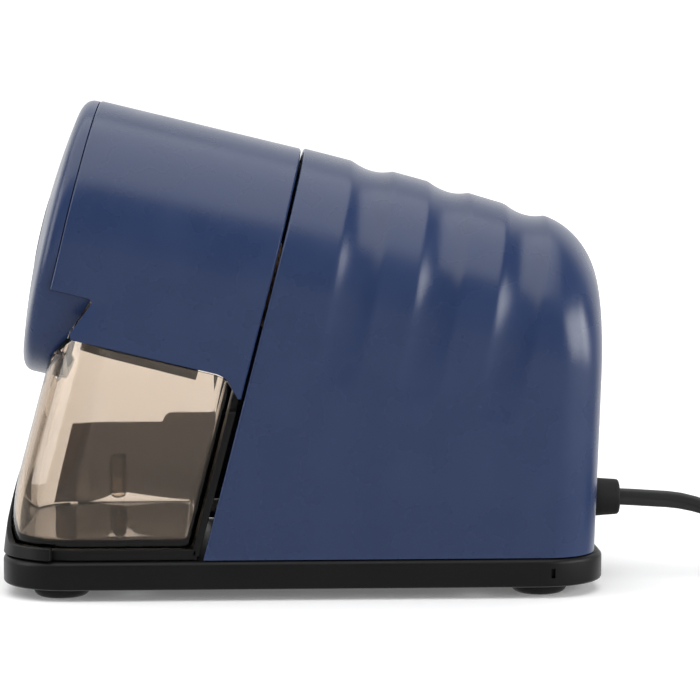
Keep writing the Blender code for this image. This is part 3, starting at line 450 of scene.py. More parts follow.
def surface(
    name,
    colour,
    roughness,
    grain=0.4,
    depth=0.05,
    strength=0.3,
    mottle=0.06,
    wear=0.25,
    worn=None,
    metallic=0.0,
    specular=0.5,
    stretch=(1.0, 1.0, 1.0),
    turn=0.0,
    bands=None,
    coat=0.0,
):
    """A Principled finish with grain, mottling, uneven gloss and worn edges.

    grain is the size of its texture in mm, and depth how deep it is. bands is (direction, pitch in
    mm, depth in mm, darkening) for a surface made of wires or stacked sheets. The darkening is painted
    shade in the crevices between the wires or sheets, partly real joint lines.
    """
    material = bpy.data.materials.new(name)
    material.use_nodes = True
    tree = material.node_tree
    shader = tree.nodes["Principled BSDF"]
    shader.inputs["Metallic"].default_value = metallic
    shader.inputs["Specular IOR Level"].default_value = specular
    shader.inputs["Coat Weight"].default_value = coat
    shader.inputs["Coat Roughness"].default_value = 0.15
    even = coordinates(tree, (1.0, 1.0, 1.0), turn)
    drawn = coordinates(tree, stretch, turn)
    clouds = noise(tree, even, 70.0, 3.0)
    fine = noise(tree, drawn, 1000.0 / grain, 2.0, 0.6)
    specks = noise(tree, even, 600.0, 3.0)
    cloudy = spread(tree, clouds, 0.2, 0.8, 0.0, 1.0)
    body = mixed(tree, cloudy, shade(colour, 1 - mottle), shade(colour, 1 + mottle))
    grainy = spread(tree, fine, 0.35, 0.65, 0.0, 0.35)
    body = mixed(tree, grainy, body, shade(colour, 1.0 - 2.2 * mottle))
    heights = [(fine, strength, depth), (clouds, 0.12, 0.12)]
    if bands:
        direction, pitch, deep, gap_shade = bands
        scale = math.pi / (10 * pitch * MM)
        wave = add(tree, "ShaderNodeTexWave", {"bands_direction": direction}, Scale=scale)
        wave.inputs["Distortion"].default_value = 0.3
        tree.links.new(even, wave.inputs["Vector"])
        # Painted shade in the crevices between wires or sheets, partly real joint lines.
        between = spread(tree, wave.outputs["Fac"], 0.0, 0.5, gap_shade, 0.0)
        body = mixed(tree, between, body, shade(colour, 0.25))
        heights.append((wave.outputs["Fac"], 0.8, deep))
    edges = add(tree, "ShaderNodeNewGeometry").outputs["Pointiness"]
    along_edges = spread(tree, edges, 0.53, 0.6, 0.0, wear)
    in_specks = spread(tree, specks, 0.35, 0.6, 0.3, 1.0)
    rubbed = combined(tree, "MULTIPLY", along_edges, in_specks)
    body = mixed(tree, rubbed, body, worn or shade(colour, 1.8))
    tree.links.new(body, shader.inputs["Base Color"])
    smoothest, roughest = max(0.05, roughness - 0.04), min(1.0, roughness + 0.04)
    gloss = spread(tree, clouds, 0.2, 0.8, smoothest, roughest)
    tree.links.new(gloss, shader.inputs["Roughness"])
    bumped(tree, heights, shader)
    return material


def clear_smoke():
    """Tinted clear plastic: its colour comes from how much of it the light goes through."""
    material = bpy.data.materials.new("smoke_clear")
    material.use_nodes = True
    tree = material.node_tree
    shader = tree.nodes["Principled BSDF"]
    shader.inputs["Transmission Weight"].default_value = 1.0
    shader.inputs["IOR"].default_value = 1.49
    vector = coordinates(tree, (1.0, 1.0, 1.0), 0.0)
    clouds = noise(tree, vector, 45.0, 2.0)
    scuffs = noise(tree, coordinates(tree, (1.0, 1.0, 7.0), 0.4), 260.0, 4.0)
    tint = mixed(tree, clouds, (0.93, 0.91, 0.89), (0.97, 0.96, 0.95))
    tree.links.new(tint, shader.inputs["Base Color"])
    tree.links.new(spread(tree, scuffs, 0.5, 0.75, 0.015, 0.09), shader.inputs["Roughness"])
    bumped(tree, [(clouds, 0.12, 0.25)], shader)
    inside = add(tree, "ShaderNodeVolumeAbsorption", Color=(0.417, 0.239, 0.03, 1.0), Density=230.0)
    tree.links.new(inside.outputs["Volume"], tree.nodes["Material Output"].inputs["Volume"])
    return material


# ---------------------------------------------------------------- where surfaces lie


def parting_x(z):
    return PARTING_X + (z - PARTING_Z) * PARTING_SLOPE


def parting_s(h):
    """Where the front housing ends along the barrel, at a height h."""
    turn = BARREL_TILT
    reach = PARTING_SLOPE * math.sin(turn) + math.cos(turn)
    rise = PARTING_SLOPE * math.cos(turn) - math.sin(turn)
    start = PARTING_X - FACE_X + (FACE_Z - PARTING_Z) * PARTING_SLOPE - PARTING_GAP / 2
    return (start + rise * h) / reach


def roof_z(x):
    return ROOF_Z - 0.25 * x - 0.0004 * x * x


def rear_x(z):
    return REAR_X + (z - BASE_TOP) * REAR_LEAN


def tray_front(z):
    below = TRAY_KNEE_Z - z
    curve = TRAY_CURVE * below * below if below > 0 else 0.0
    return TRAY_KNEE_X - TRAY_SLOPE * below + curve


def tray_back(z):
    return parting_x(z) - PARTING_GAP - BAY_PLATE - 0.6


# ---------------------------------------------------------------- base


def base_ring(z, inset):
    corner = BASE_CORNER - inset
    reach = HALF_LENGTH - inset
    plan = rounded_plan(-reach, reach, BASE_HALF_WIDTH - inset, corner, corner, 24, 12)
    return [(x, y, z) for x, y in plan]


def make_base(material):
    low = [(BASE_BOTTOM + z, 1.0 - reach) for reach, z in arc((0.0, 1.0), 1.0, -90, 0, 5)]
    ledge = BASE_LEDGE
    high = [(BASE_TOP - ledge + z, ledge - reach) for reach, z in arc((0.0, 0.0), ledge, 0, 90, 8)]
    skin = loft([base_ring(z, inset) for z, inset in low + high])
    pocket = loft([base_ring(z, BASE_WALL + 0.8) for z in (BASE_BOTTOM - 1.0, BASE_TOP - BASE_WALL)])
    catches = [box((71.8, side * 42.2 - 2, 6.0), (73.0, side * 42.2 + 2, 8.8)) for side in (-1, 1)]
    names, cuts = ["base_plate"], [pocket, *catches]
    base = piece("base_shell", skin, material, "frame", names, cuts)
    bosses = []
    for x in FOOT_X:
        for side in (-1, 1):
            ring = [(BASE_BOTTOM, 0.0), (BASE_BOTTOM, 8.7), (BASE_BOTTOM + 0.5, 9.2)]
            ring += [(9.2, 9.2), (9.2, 0.0)]
            bosses.append(upright(lathe(ring, 40), x, side * FOOT_Y))
    for x, y in SCREW_PLACES:
        ring = [(5.9, 2.4), (5.9, 4.3), (6.2, 4.6), (9.2, 4.6), (9.2, 2.4)]
        bosses.append(upright(lathe(ring, 32), x, y))
    piece("base_bosses", together(*bosses), material, "frame")
    upstand = loft(
        [
            [(x, y, z) for x, y in rounded_plan(86.9 + sink, 88.7 - sink, 9.0 - sink, 0.6, 0.6, 4, 4)]
            for z, sink in ((10.5, 0.0), (17.0, 0.0), (17.5, 0.25))
        ]
    )
    piece("rear_upstand", upstand, material, "frame")
    return base


def make_feet(material):
    curve = [(z, 5.8 + reach) for reach, z in arc((0.0, 2.6), 2.6, -90, 0, 8)]
    profile = [(0.0, 0.0), (0.25, 4.6), (0.0, 5.0)] + curve + [(3.0, FOOT_RADIUS), (3.0, 0.0)]
    number = 0
    for x in FOOT_X:
        for side in (-1, 1):
            number += 1
            shape = upright(lathe(profile, 56), x, side * FOOT_Y)
            piece(f"rubber_foot_{number}", shape, material, "frame", [f"foot_{number}"])


# ---------------------------------------------------------------- housings


def sleeve_row(s, radius, front, lower=0.0):
    walls = [-32.0 + 2.0 * i for i in range(16)]
    over = arc((0.0, 0.0), radius, 180, 0, 96)
    chain = [(-radius, h) for h in walls] + over + [(radius, h) for h in reversed(walls)]
    return [(s if front else parting_s(h) - lower, y, h) for y, h in chain]


def window_cut():
    """What the sleeve's side view leaves open below its edge."""
    outline = [
        (0.0, SKIRT_STEP),
        (SKIRT_FRONT - 1.0, SKIRT_STEP),
        (SKIRT_FRONT, SKIRT_STEP - 1.0),
        (SKIRT_TOE, WINDOW_EDGE + 1.5),
        (SKIRT_TOE + 0.8, WINDOW_EDGE),
        *arc((56.0, WINDOW_EDGE - 7.0), 7.0, 90, 30, 16),
        (66.0, WINDOW_EDGE - 7.5),
        (66.0, -40.0),
        (0.0, -40.0),
    ]
    return across_y(outline, -60.0, 60.0)


def make_front_housing(material):
    start, inner_radius = CAP_SEAM + SEAM_GAP, BARREL_RADIUS - SHELL
    rows = [(start + 0.8 - z, BARREL_RADIUS - 0.8 + r) for r, z in arc((0.0, 0.0), 0.8, 90, 0, 4)]
    outer = [sleeve_row(s, radius, True) for s, radius in rows]
    outer += [sleeve_row(s, BARREL_RADIUS, True) for s in (12.0, 24.0, 36.0, 48.0)]
    outer += [sleeve_row(0.0, BARREL_RADIUS, False, 0.5), sleeve_row(0.0, BARREL_RADIUS - 0.5, False)]
    inner = [sleeve_row(s, inner_radius, True) for s, _ in rows]
    inner += [sleeve_row(s, inner_radius, True) for s in (12.0, 24.0, 36.0, 48.0)]
    inner += [sleeve_row(0.0, inner_radius, False, 0.5), sleeve_row(0.0, inner_radius, False)]
    shape, tool = on_barrel(thick_sheet(outer, inner)), on_barrel(window_cut())
    names, slot = ["front_housing"], "navy_moulding"
    return piece("front_sleeve", shape, material, "frame", names, [tool], 0.35, 40.0)


def dome(radius):
    """How far the cap's face stands forward of its rim at a radius."""
    return -CAP_BULGE * (1 - (radius / CAP_RADIUS) ** 2)


def bend(a, b, c, pieces):
    """Points of a curve from a to c that leaves and arrives towards b."""
    made = []
    for i in range(pieces + 1):
        t = i / pieces
        point = [p * (1 - t) ** 2 + 2 * q * t * (1 - t) + r * t * t for p, q, r in zip(a, b, c)]
        made.append(tuple(point))
    return made


def skirt_edge():
    """What the cap's side view leaves open behind its skirt, from the sleeve's edge down."""
    toe = SKIRT_TOE - GAP
    return [
        (SKIRT_REACH, SKIRT_STEP + 0.6),
        (toe, WINDOW_EDGE + 1.5),
        (CAP_DEPTH, WINDOW_EDGE - 0.6),
        (CAP_DEPTH, -60.0),
        (40.0, -60.0),
        (40.0, SKIRT_STEP + 0.6),
    ]


def make_front_cap(material):
    face = [(dome(10.4) + 0.5, 10.4), (dome(10.9), 10.9)]
    face += [(dome(r), r) for r in (12, 14, 17, 20, 23, 26, 29, 31, 33, 35, 36.5)]
    rim = bend((dome(37.5), 37.5), (0.0, 41.7), (3.0, CAP_RADIUS), 10)
    skirt = [(SKIRT_REACH, CAP_RADIUS)]
    skirt += [(SKIRT_REACH, CAP_RADIUS - 3.6), (3.0, CAP_RADIUS - 3.6), (1.6, 37.0)]
    collar = [
        (dome(32.0) + 2.4, 32.0),
        (dome(30.0) + 2.4, 29.2),
        (18.0, 29.2),
        (18.0, 27.1),
        (dome(27.0) + 2.4, 27.1),
        (dome(10.4) + 2.4, 10.4),
    ]
    low, inner_low = [math.degrees(math.asin((SKIRT_STEP - GAP) / r)) for r in (46.0, 39.5)]
    band = arc((0, 0), 46.0, low, 180 - low, 72)
    band += arc((0, 0), 39.5, 180 - inner_low, inner_low, 72)
    tools = [on_barrel(along_x(band, CAP_SEAM, 30.0)), on_barrel(across_y(skirt_edge(), -60.0, 60.0))]
    shape = on_barrel(lathe(face + rim + skirt + collar, 144))
    names, slot = ["front_cap"], "navy_moulding"
    return piece("front_bezel", shape, material, "frame", names, tools, 0.25, 40.0)


def groove_depth(x, z):
    """How deep the finger grooves are at a place on the side of the rear housing."""
    deepest = 0.0
    for middle, end in zip(GROOVE_PLACES, GROOVE_ENDS):
        off = (x - middle - GROOVE_SLOPE * (z - 100.0)) / (GROOVE_WIDTH / 2)
        rise = min(1.0, max(0.0, (z - end) / GROOVE_FADE))
        fall = max(0.0, 1.0 - (z - end) / (GROOVE_WIDTH / 2))
        hollow = 1.0 - off * off - fall * fall
        share = GROOVE_END_SHARE + (1 - GROOVE_END_SHARE) * rise * rise * (3 - 2 * rise)
        deepest = max(deepest, hollow * share)
    return GROOVE_DEPTH * deepest


def lean(x100):
    """The slope of the rear housing's sections, from the joint plane to the rear wall."""
    knots = ((parting_x(100.0), PARTING_SLOPE), (8.0, GROOVE_SLOPE), (72.0, GROOVE_SLOPE))
    knots += ((rear_x(100.0), REAR_LEAN),)
    for (xa, a), (xb, b) in zip(knots, knots[1:]):
        if x100 <= xb:
            return a + (b - a) * (x100 - xa) / (xb - xa)
    return REAR_LEAN


def rear_row(place_of, inset, shrink, grooved):
    """A section of the rear housing. place_of gives x at a height z."""
    half = REAR_HALF_WIDTH - inset - shrink
    spring = roof_z(place_of(85.0)) - REAR_HALF_WIDTH
    bottom = BASE_TOP + GAP
    walls = [bottom + (spring - bottom) * i / 34 for i in range(34)]
    chain = [(-1.0, 0.0, z) for z in walls]
    chain += [(-math.cos(t), math.sin(t), None) for t in (math.pi * i / 72 for i in range(73))]
    chain += [(1.0, 0.0, z) for z in reversed(walls)]
    row = []
    for across, up, z in chain:
        if z is None:
            z = spring + half * up
            for _ in range(3):
                z = roof_z(place_of(z)) - REAR_HALF_WIDTH + half * up
        x = place_of(z)
        sunk = groove_depth(x, z) if grooved else 0.0
        row.append((x, across * (half - sunk), z - up * sunk))
    return row


def sloping(x100):
    slope = lean(x100)
    return lambda z: x100 + slope * (z - 100.0)


def rear_rows(inset, grooved):
    first = parting_x(100.0) + PARTING_GAP / 2
    stations = [first + (72.6 - first) * i / 82 for i in range(83)]
    lip = 0.0 if inset else 0.5
    rows = [rear_row(sloping(first), inset + lip, 0.0, grooved)]
    rows.append(rear_row(sloping(first + 0.2), inset + lip * 0.3, 0.0, grooved))
    rows.append(rear_row(sloping(first + 0.5), inset, 0.0, grooved))
    rows += [rear_row(sloping(x100), inset, 0.0, grooved) for x100 in stations[1:]]
    fillet = REAR_FILLET - inset
    for i in range(1, 17):
        turn = math.pi / 2 * i / 16
        back = fillet * (1 - math.sin(turn)) + inset
        shrink = fillet * (1 - math.cos(turn))
        rows.append(rear_row(lambda z: rear_x(z) - back, inset, shrink, False))
    edge = rows[-1]
    for share in (0.8, 0.6, 0.4, 0.2, 0.0):
        rows.append([(x, y * share, z) for x, y, z in edge])
    return rows


def make_rear_housing(material):
    shell = thick_sheet(rear_rows(0.0, True), rear_rows(SHELL, False), folded=True)
    exit_hole = lathe([(80.0, 0.0), (80.0, 5.9), (95.0, 5.9), (95.0, 0.0)], 48, 0.0, RELIEF_Z)
    names = ["rear_housing"]
    return piece("rear_shell", shell, material, "frame", names, [exit_hole], 0.0, 40.0)


# ---------------------------------------------------------------- bay and receptacle


def bulkhead_outline():
    arch = BARREL_RADIUS - SHELL - 0.5
    middle = FACE_Z - parting_s(0.0) * math.sin(BARREL_TILT)
    low = BAY_FLOOR_TOP - 2.0
    lie = math.cos(math.atan(PARTING_SLOPE))
    over = [(y, middle + z * lie) for y, z in arc((0.0, 0.0), arch, 0, 180, 72)]
    return over + [(-arch, 62.0), (-arch, 56.0), (-41.6, 55.0), (-41.6, low), (41.6, low)] + [
        (41.6, 55.0),
        (arch, 56.0),
        (arch, 62.0),
    ]


def make_bay_frame(material, side_material):
    outline = bulkhead_outline()
    front = [(parting_x(z) - PARTING_GAP - BAY_PLATE, y, z) for y, z in outline]
    back = [(parting_x(z) - PARTING_GAP, y, z) for y, z in outline]
    floor = rounded_plan(tray_front(15.0) + 1.2, parting_x(12.0) - 1.2, 41.6, 19.0, 0.5, 20, 8)
    plunger = box((-40.0, -2.1, 19.9), (-20.0, 2.1, 24.1))
    hole = on_barrel(lathe([(50.0, 0.0), (50.0, 11.3), (80.0, 11.3), (80.0, 0.0)], 64))
    shape, cuts = loft([front, back]), [plunger, hole]
    piece("bay_bulkhead", shape, material, "frame", ["bay_frame"], cuts, 0.3)
    ground = loft([[(x, y, z) for x, y in floor] for z in (BASE_TOP + GAP, BAY_FLOOR_TOP)])
    piece("bay_floor", ground, material, "frame", [], [], 0.3)

    def end(z, reach):
        return parting_x(z) - PARTING_GAP - reach, z

    foot = BASE_TOP + GAP + 0.1
    wall = [(BAY_SIDE_FRONT, foot), end(foot, 0.4), end(BAY_SIDE_STEP, 0.4)]
    wall += bend((BAY_SIDE_STEP_X, BAY_SIDE_STEP), (-42.6, BAY_SIDE_STEP), (-43.6, BAY_SIDE_TOP), 6)
    wall += [(BAY_SIDE_BROW, BAY_SIDE_TOP), (BAY_SIDE_CHIN, BAY_SIDE_LOW)]
    wall.append((BAY_SIDE_FRONT, BAY_SIDE_LOW))
    opening = [(-68.0, 16.0), (-57.7, 20.6), (-34.5, 17.2), (-34.5, 16.0)]
    tool = across_y(opening, TRAY_HALF_WIDTH, 50.0)
    shape = across_y(wall, TRAY_HALF_WIDTH + GAP, BAY_SIDE_OUTER)
    piece("bay_side_wall", shape, side_material, "frame", [], [tool], 0.25)
    sill = box((BAY_SIDE_FRONT, 40.0, foot), (-36.0, BAY_SIDE_OUTER - 0.2, BAY_FLOOR_TOP - 0.2))
    post = [end(z, reach) for z, reach in ((foot, 2.0), (foot, 0.2), (44.0, 0.2), (44.0, 2.0))]
    ties = together(sill, across_y(post, 41.0, BAY_SIDE_OUTER - 0.3))
    piece("bay_side_ties", ties, material, "frame", [], [], 0.2)


def tray_ring(z, inset):
    half, corner = TRAY_HALF_WIDTH - inset, TRAY_CORNER - inset
    rear = max(0.8, 3.0 - inset)
    plan = rounded_plan(tray_front(z) + inset, tray_back(z) - inset, half, corner, rear, 20, 16)
    return [(x, y, z) for x, y in plan]


def make_receptacle(material):
    low = [(TRAY_BOTTOM + z, 1.6 - reach) for reach, z in arc((0.0, 1.6), 1.6, -90, 0, 6)]
    heights = [TRAY_BOTTOM + 1.6 + 2.0 * i for i in range(1, 15)] + [50.0, 60.0, 70.0, TRAY_TOP]
    outside = [tray_ring(z, inset) for z, inset in low + [(z, 0.0) for z in heights]]
    floor = TRAY_BOTTOM + TRAY_WALL
    inside = [tray_ring(z, TRAY_WALL) for z in reversed(heights)]
    bowl = arc((0.0, 0.0), 1.2, 0, 90, 5)
    inside += [tray_ring(floor + 1.2 - z, TRAY_WALL + 1.2 - r) for r, z in bowl]
    clear = BARREL_RADIUS + 1.0
    edge = math.degrees(math.asin((WINDOW_EDGE - 0.5) / clear))
    roof = arc((0.0, 0.0), clear, edge, -180 - edge, 96)
    roof += [(-60.0, WINDOW_EDGE - 0.5), (-60.0, 60.0), (60.0, 60.0), (60.0, WINDOW_EDGE - 0.5)]
    tail = [
        (52.0, WINDOW_EDGE + 3.0),
        (52.0, WINDOW_EDGE - 0.5),
        *arc((56.0, WINDOW_EDGE - 7.5), 7.0, 90, 30, 16),
        (70.0, WINDOW_EDGE - 8.0),
        (70.0, WINDOW_EDGE + 3.0),
    ]
    tools = [on_barrel(along_x(roof, -40.0, 110.0)), on_barrel(across_y(tail, -60.0, 60.0))]
    shape = loft(outside + inside)
    piece("clear_drawer", shape, material, "receptacle_body", ["receptacle"], tools, 0.3, 45.0)


def make_drawer_rib(material):
    """The short upright rib on the inside of the drawer's far wall."""
    wall = TRAY_HALF_WIDTH - TRAY_WALL
    rings = []
    for z, size in ((19.0, 0.55), (19.5, 0.85), (20.4, 1.0), (32.0, 1.0), (32.6, 0.8), (32.9, 0.4)):
        plan = arc((-57.7, wall - 0.3), 2.6 * size, 180, 360, 16)
        rings.append([(x, y, z) for x, y in plan])
    piece("drawer_rib", loft(rings), material, "receptacle_body")


def make_drawer_rim_shade(material):
    """The thickened rim along the drawer's side edges, coloured near black as painted shade:
    it stands for the thick clear edge and the shadow under the sleeve.
    """
    rise, turn = WINDOW_EDGE - 0.8, BARREL_TILT
    plan = tray_ring(60.0, TRAY_WALL + 0.02)
    for number, side in enumerate((-1, 1), 1):
        path = [(x, y) for x, y, _ in plan if y * side > 35.5 and x < -24.0]
        path.sort()
        outer, inner = [], []
        for x, y in path:
            top = FACE_Z + (rise - (x - FACE_X) * math.sin(turn)) / math.cos(turn)
            if (x - FACE_X) * math.cos(turn) - (top - FACE_Z) * math.sin(turn) > 51.0:
                continue
            steps = [top - 2.8 * k / 4 for k in range(5)]
            x_at = [x + tray_front(z) - tray_front(60.0) for z in steps]
            outer.append([(a, y, z) for a, z in zip(x_at, steps)])
            inner.append([(a, y - side * 1.1, z) for a, z in zip(x_at, steps)])
        name, shape = f"drawer_rim_{number}", thick_sheet(outer, inner)
        piece(name, shape, material, "receptacle_body", [], [], 0.25)


def pull_thickness(z):
    """The lip stands further out of the drawer's front the lower it is."""
    drop = (PULL_APEX - z) / (PULL_APEX - PULL_BOTTOM)
    return 0.5 + 1.9 * drop * drop


def pull_top(share):
    """The lip's upper edge, a low arch that's down before it turns the corners."""
    off = min(1.0, abs(share) / PULL_ARCH)
    return PULL_LOW + (PULL_APEX - PULL_LOW) * (1 - off * off) ** 1.5


def pull_point(share, z, offset):
    """A point off the tray's front: share runs from -1 to 1, round both front corners."""
    flat = TRAY_HALF_WIDTH - TRAY_CORNER
    wrap = math.radians(70.0)
    side = math.copysign(1.0, share)
    front = tray_front(z)
    if abs(share) <= 0.5:
        return front - offset, flat * share / 0.5, z
    turn = wrap * (abs(share) - 0.5) / 0.5
    reach = TRAY_CORNER + offset
    x = front + TRAY_CORNER - reach * math.cos(turn)
    return x, side * (flat + reach * math.sin(turn)), z


def make_pull(material):
    outer, inner = [], []
    for i in range(97):
        share = -1.0 + 2.0 * i / 96
        top = pull_top(share)
        heights = [PULL_BOTTOM + (top - PULL_BOTTOM) * k / 14 for k in range(15)]
        outer.append([pull_point(share, z, GAP + pull_thickness(z)) for z in heights])
        inner.append([pull_point(share, z, GAP) for z in heights])
    shape = thick_sheet(outer, inner)
    names = ["receptacle_pull"]
    piece("drawer_lip", shape, material, "receptacle_body", names, [], 0.3, 50.0)


# ---------------------------------------------------------------- pencil guide


def make_guide(material):
    nose = [(-2.4, 4.25)] + bend((-3.4, 5.6), (-3.98, 6.4), (-3.98, 7.4), 5)
    nose += bend((-3.94, 10.4), (-3.92, 11.8), (-3.7, 12.3), 6) + [(-3.5, 12.3), (-3.5, 10.1)]
    profile = nose + [(0.5, 10.1), (0.5, 6.4), (24.4, 6.4), (24.8, 6.0), (24.8, 4.25)]
    slot = on_barrel(box((0.8, -1.15, 2.5), (7.0, 1.15, 9.0)))
    shape = on_barrel(lathe(profile, 96))
    piece("guide_tube", shape, material, "frame", ["pencil_guide"], [slot], 0.0, 40.0)
    ears = [box((7.2, side * 2.4 - 1.0, 5.9), (10.8, side * 2.4 + 1.0, 12.6)) for side in (-1, 1)]
    piece("guide_ears", on_barrel(together(*ears)), material, "frame", [], [], 0.3)


# ---------------------------------------------------------------- lead and plug


def smooth_line(knots, step):
    """Points along a smooth curve through knots, about step apart."""
    knots = [Vector(p) for p in knots]
    knots = [knots[0] * 2 - knots[1], *knots, knots[-1] * 2 - knots[-2]]
    fine = []
    for a, b, c, d in zip(knots, knots[1:], knots[2:], knots[3:]):
        for i in range(12):
            t = i / 12
            curve = (a * 2 - b * 5 + c * 4 - d) * t * t + (b * 3 - a - c * 3 + d) * t * t * t
            fine.append((b * 2 + (c - a) * t + curve) / 2)
    fine.append(knots[-2])
    kept, walked = [fine[0]], 0.0
    for a, b in zip(fine, fine[1:]):
        walked += (b - a).length
        if walked >= step:
            kept.append(b)
            walked = 0.0
    kept[-1] = fine[-1]
    return kept


def coil_point(turns):
    """The lead's place in the coil: out and in over four layers, from the foot of the outer column."""
    per_layer = COIL_TURNS / len(COIL_LAYERS)
    layer = min(int(turns / per_layer), len(COIL_LAYERS) - 1)
    share = turns / per_layer - layer
    swing = 1.0 - 2.0 * share if layer % 2 == 0 else 2.0 * share - 1.0
    radius = COIL_RADIUS + COIL_SWING * swing
    z = COIL_LAYERS[layer]
    climb = 0.14
    if share > 1.0 - climb and layer + 1 < len(COIL_LAYERS):
        z += (COIL_LAYERS[layer + 1] - z) * 0.5 * ((share - 1.0 + climb) / climb) ** 2
    if share < climb and layer > 0:
        z -= (z - COIL_LAYERS[layer - 1]) * 0.5 * ((climb - share) / climb) ** 2
    turn = math.radians(270.0) + 2 * math.pi * turns
    return COIL_CENTRE[0] + radius * math.cos(turn), COIL_CENTRE[1] + radius * math.sin(turn), z


def lead_line():
    count = int(COIL_TURNS * 20)
    coil = [coil_point(COIL_TURNS * i / count) for i in range(count + 1)]
    return smooth_line([*ROUTE, *coil, *TAIL], 3.4)


def twin_section():
    """The outline of the flat twin lead: two round cores joined by a narrow waist."""
    right = arc((LEAD_SPREAD, 0.0), LEAD_LOBE, -140, 140, 9)
    left = arc((-LEAD_SPREAD, 0.0), LEAD_LOBE, 40, 320, 9)
    return right + left


def make_lead(material):
    line = lead_line()
    section = twin_section()
    rings = []
    for i, at in enumerate(line):
        ahead = line[min(i + 1, len(line) - 1)] - line[max(i - 1, 0)]
        ahead.normalize()
        aside = ahead.cross(Vector((0.0, 0.0, 1.0))).normalized()
        above = aside.cross(ahead)
        flat = min(1.0, max(0.0, (at.x - 104.0) / 54.0)) if i < 60 else 1.0
        turn = math.pi / 2 * (1.0 - flat * flat * (3 - 2 * flat))
        wide = aside * math.cos(turn) + above * math.sin(turn)
        thin = above * math.cos(turn) - aside * math.sin(turn)
        rings.append([at + wide * u + thin * v for u, v in section])
    obj = bpy.data.objects.new("twin_lead", mesh_of("twin_lead", loft(rings), 60.0))
    bpy.context.scene.collection.objects.link(obj)
    obj.data.materials.append(material)
    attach(obj, "frame")
    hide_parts("cord_run", "cord_coil")
    return obj, [tuple(p * MM) for p in line]


def pill(wide, tall, segments=12):
    """A rounded rectangle of (across, up), round at its ends."""
    corner = min(wide, tall) * 0.72
    return rounded_plan(-wide, wide, tall, corner, corner, segments, 3)


def make_plug(material, metal):
    face = COIL_CENTRE[0] - 20.0
    y = 47.8
    sections = [(0.0, 2.9, 1.6), (-0.4, 3.2, 1.9), (-4.0, 3.4, 2.4), (-7.0, 4.4, 3.4), (-9.5, 7.2, 5.0)]
    sections += [(-11.0, 8.4, 5.5)]
    for i in range(4):
        at = -12.6 - 2.3 * i
        sections += [(at, 8.8, 5.7), (at - 0.5, 8.1, 5.1), (at - 1.1, 8.1, 5.1), (at - 1.6, 8.8, 5.7)]
    sections += [(-23.0, 9.3, 5.95), (-24.8, 9.3, 5.95), (-25.6, 9.0, 5.6), (-26.0, 8.4, 5.0)]
    rings = [[(face + x, y + a, 6.2 + b) for a, b in pill(wide, tall)] for x, wide, tall in sections]
    shape, names = loft(rings), ["plug_body"]
    body = piece("plug_moulding", shape, material, "frame", names, [], 0.0, 50.0)
    blades = []
    for number, side in enumerate((-1, 1), 1):
        tip = face - 26.0 - GAP
        centre = y + side * 6.35
        end = arc((tip - 17.0 + 2.6, 6.2), 2.6, 90, 270, 10)
        outline = [(tip + 0.3, 9.4), (tip - 14.4, 9.4)]
        outline += [(x, 6.2 + (z - 6.2) * 3.2 / 2.6) for x, z in end]
        outline += [(tip - 14.4, 3.0), (tip + 0.3, 3.0)]
        shape = across_y(outline, centre - 0.75, centre + 0.75)
        hole = across_y(arc((tip - 13.0, 6.2), 1.6, 0, 345, 23), centre - 5.0, centre + 5.0)
        names = [f"plug_blade_{number}"]
        blades.append(piece(f"plug_pin_{number}", shape, metal, "frame", names, [hole], 0.2))
    return [body, *blades]


def make_tie(material):
    """A flat band round one side of the coil."""
    x, y = COIL_CENTRE
    inner, outer = COIL_RADIUS - 9.3, COIL_RADIUS + 9.0
    low, high = 1.6, 12.5
    corners = (
        arc((outer - 2.0, low + 2.0), 2.0, -90, 0, 8)
        + arc((outer - 2.0, high - 2.0), 2.0, 0, 90, 8)
        + arc((inner + 2.0, high - 2.0), 2.0, 90, 180, 8)
        + arc((inner + 2.0, low + 2.0), 2.0, 180, 270, 8)
    )
    middle = ((inner + outer) / 2, (low + high) / 2)
    thick, thin = 0.8, 0.75
    sides = (-2.4, -1.2, 0.0, 1.2, 2.4)
    rows_out, rows_in = [], []
    for across, up in corners + corners[:1]:
        grown = (
            across + thick * (across - middle[0]) / (outer - middle[0]),
            up + thin * (up - middle[1]) / (high - middle[1]),
        )
        rows_out.append([(x + grown[0], y + side, grown[1]) for side in sides])
        rows_in.append([(x + across, y + side, up) for side in sides])
    shape, names = thick_sheet(rows_out, rows_in), ["cord_tie"]
    return piece("lead_tie", shape, material, "frame", names, [], 0.2)


def make_strain_relief(material):
    profile = [(84.4, 0.0), (84.4, 5.6), (87.6, 5.6), (87.7, 5.85), (88.2, 6.1)]
    profile += [(92.0, 5.75), (RELIEF_END - 1.2, 5.45)]
    profile += bend((RELIEF_END - 0.9, 5.4), (RELIEF_END, 5.35), (RELIEF_END, 4.4), 6)
    profile += [(RELIEF_END, 3.2), (RELIEF_END - 0.8, 2.9), (RELIEF_END - 0.8, 0.0)]
    flange = [(80.6, 0.0), (80.6, 8.0), (83.6, 8.0), (84.0, 7.6), (84.0, 0.0)]
    shape = together(lathe(profile, 72, 0.0, RELIEF_Z), lathe(flange, 48, 0.0, RELIEF_Z))
    names = ["strain_relief"]
    return piece("lead_boot", shape, material, "frame", names, [], 0.0, 45.0)


# ---------------------------------------------------------------- room and lights


def soft_light(name, place, target, wide, tall, power, colour=(1.0, 1.0, 1.0)):
    lamp = bpy.data.lights.new(name, "AREA")
    lamp.shape = "RECTANGLE"
    lamp.size, lamp.size_y = wide, tall
    lamp.energy = power
    lamp.color = colour
    obj = bpy.data.objects.new(name, lamp)
    bpy.context.scene.collection.objects.link(obj)
    obj.location = place
    aim(obj, target)
    return obj


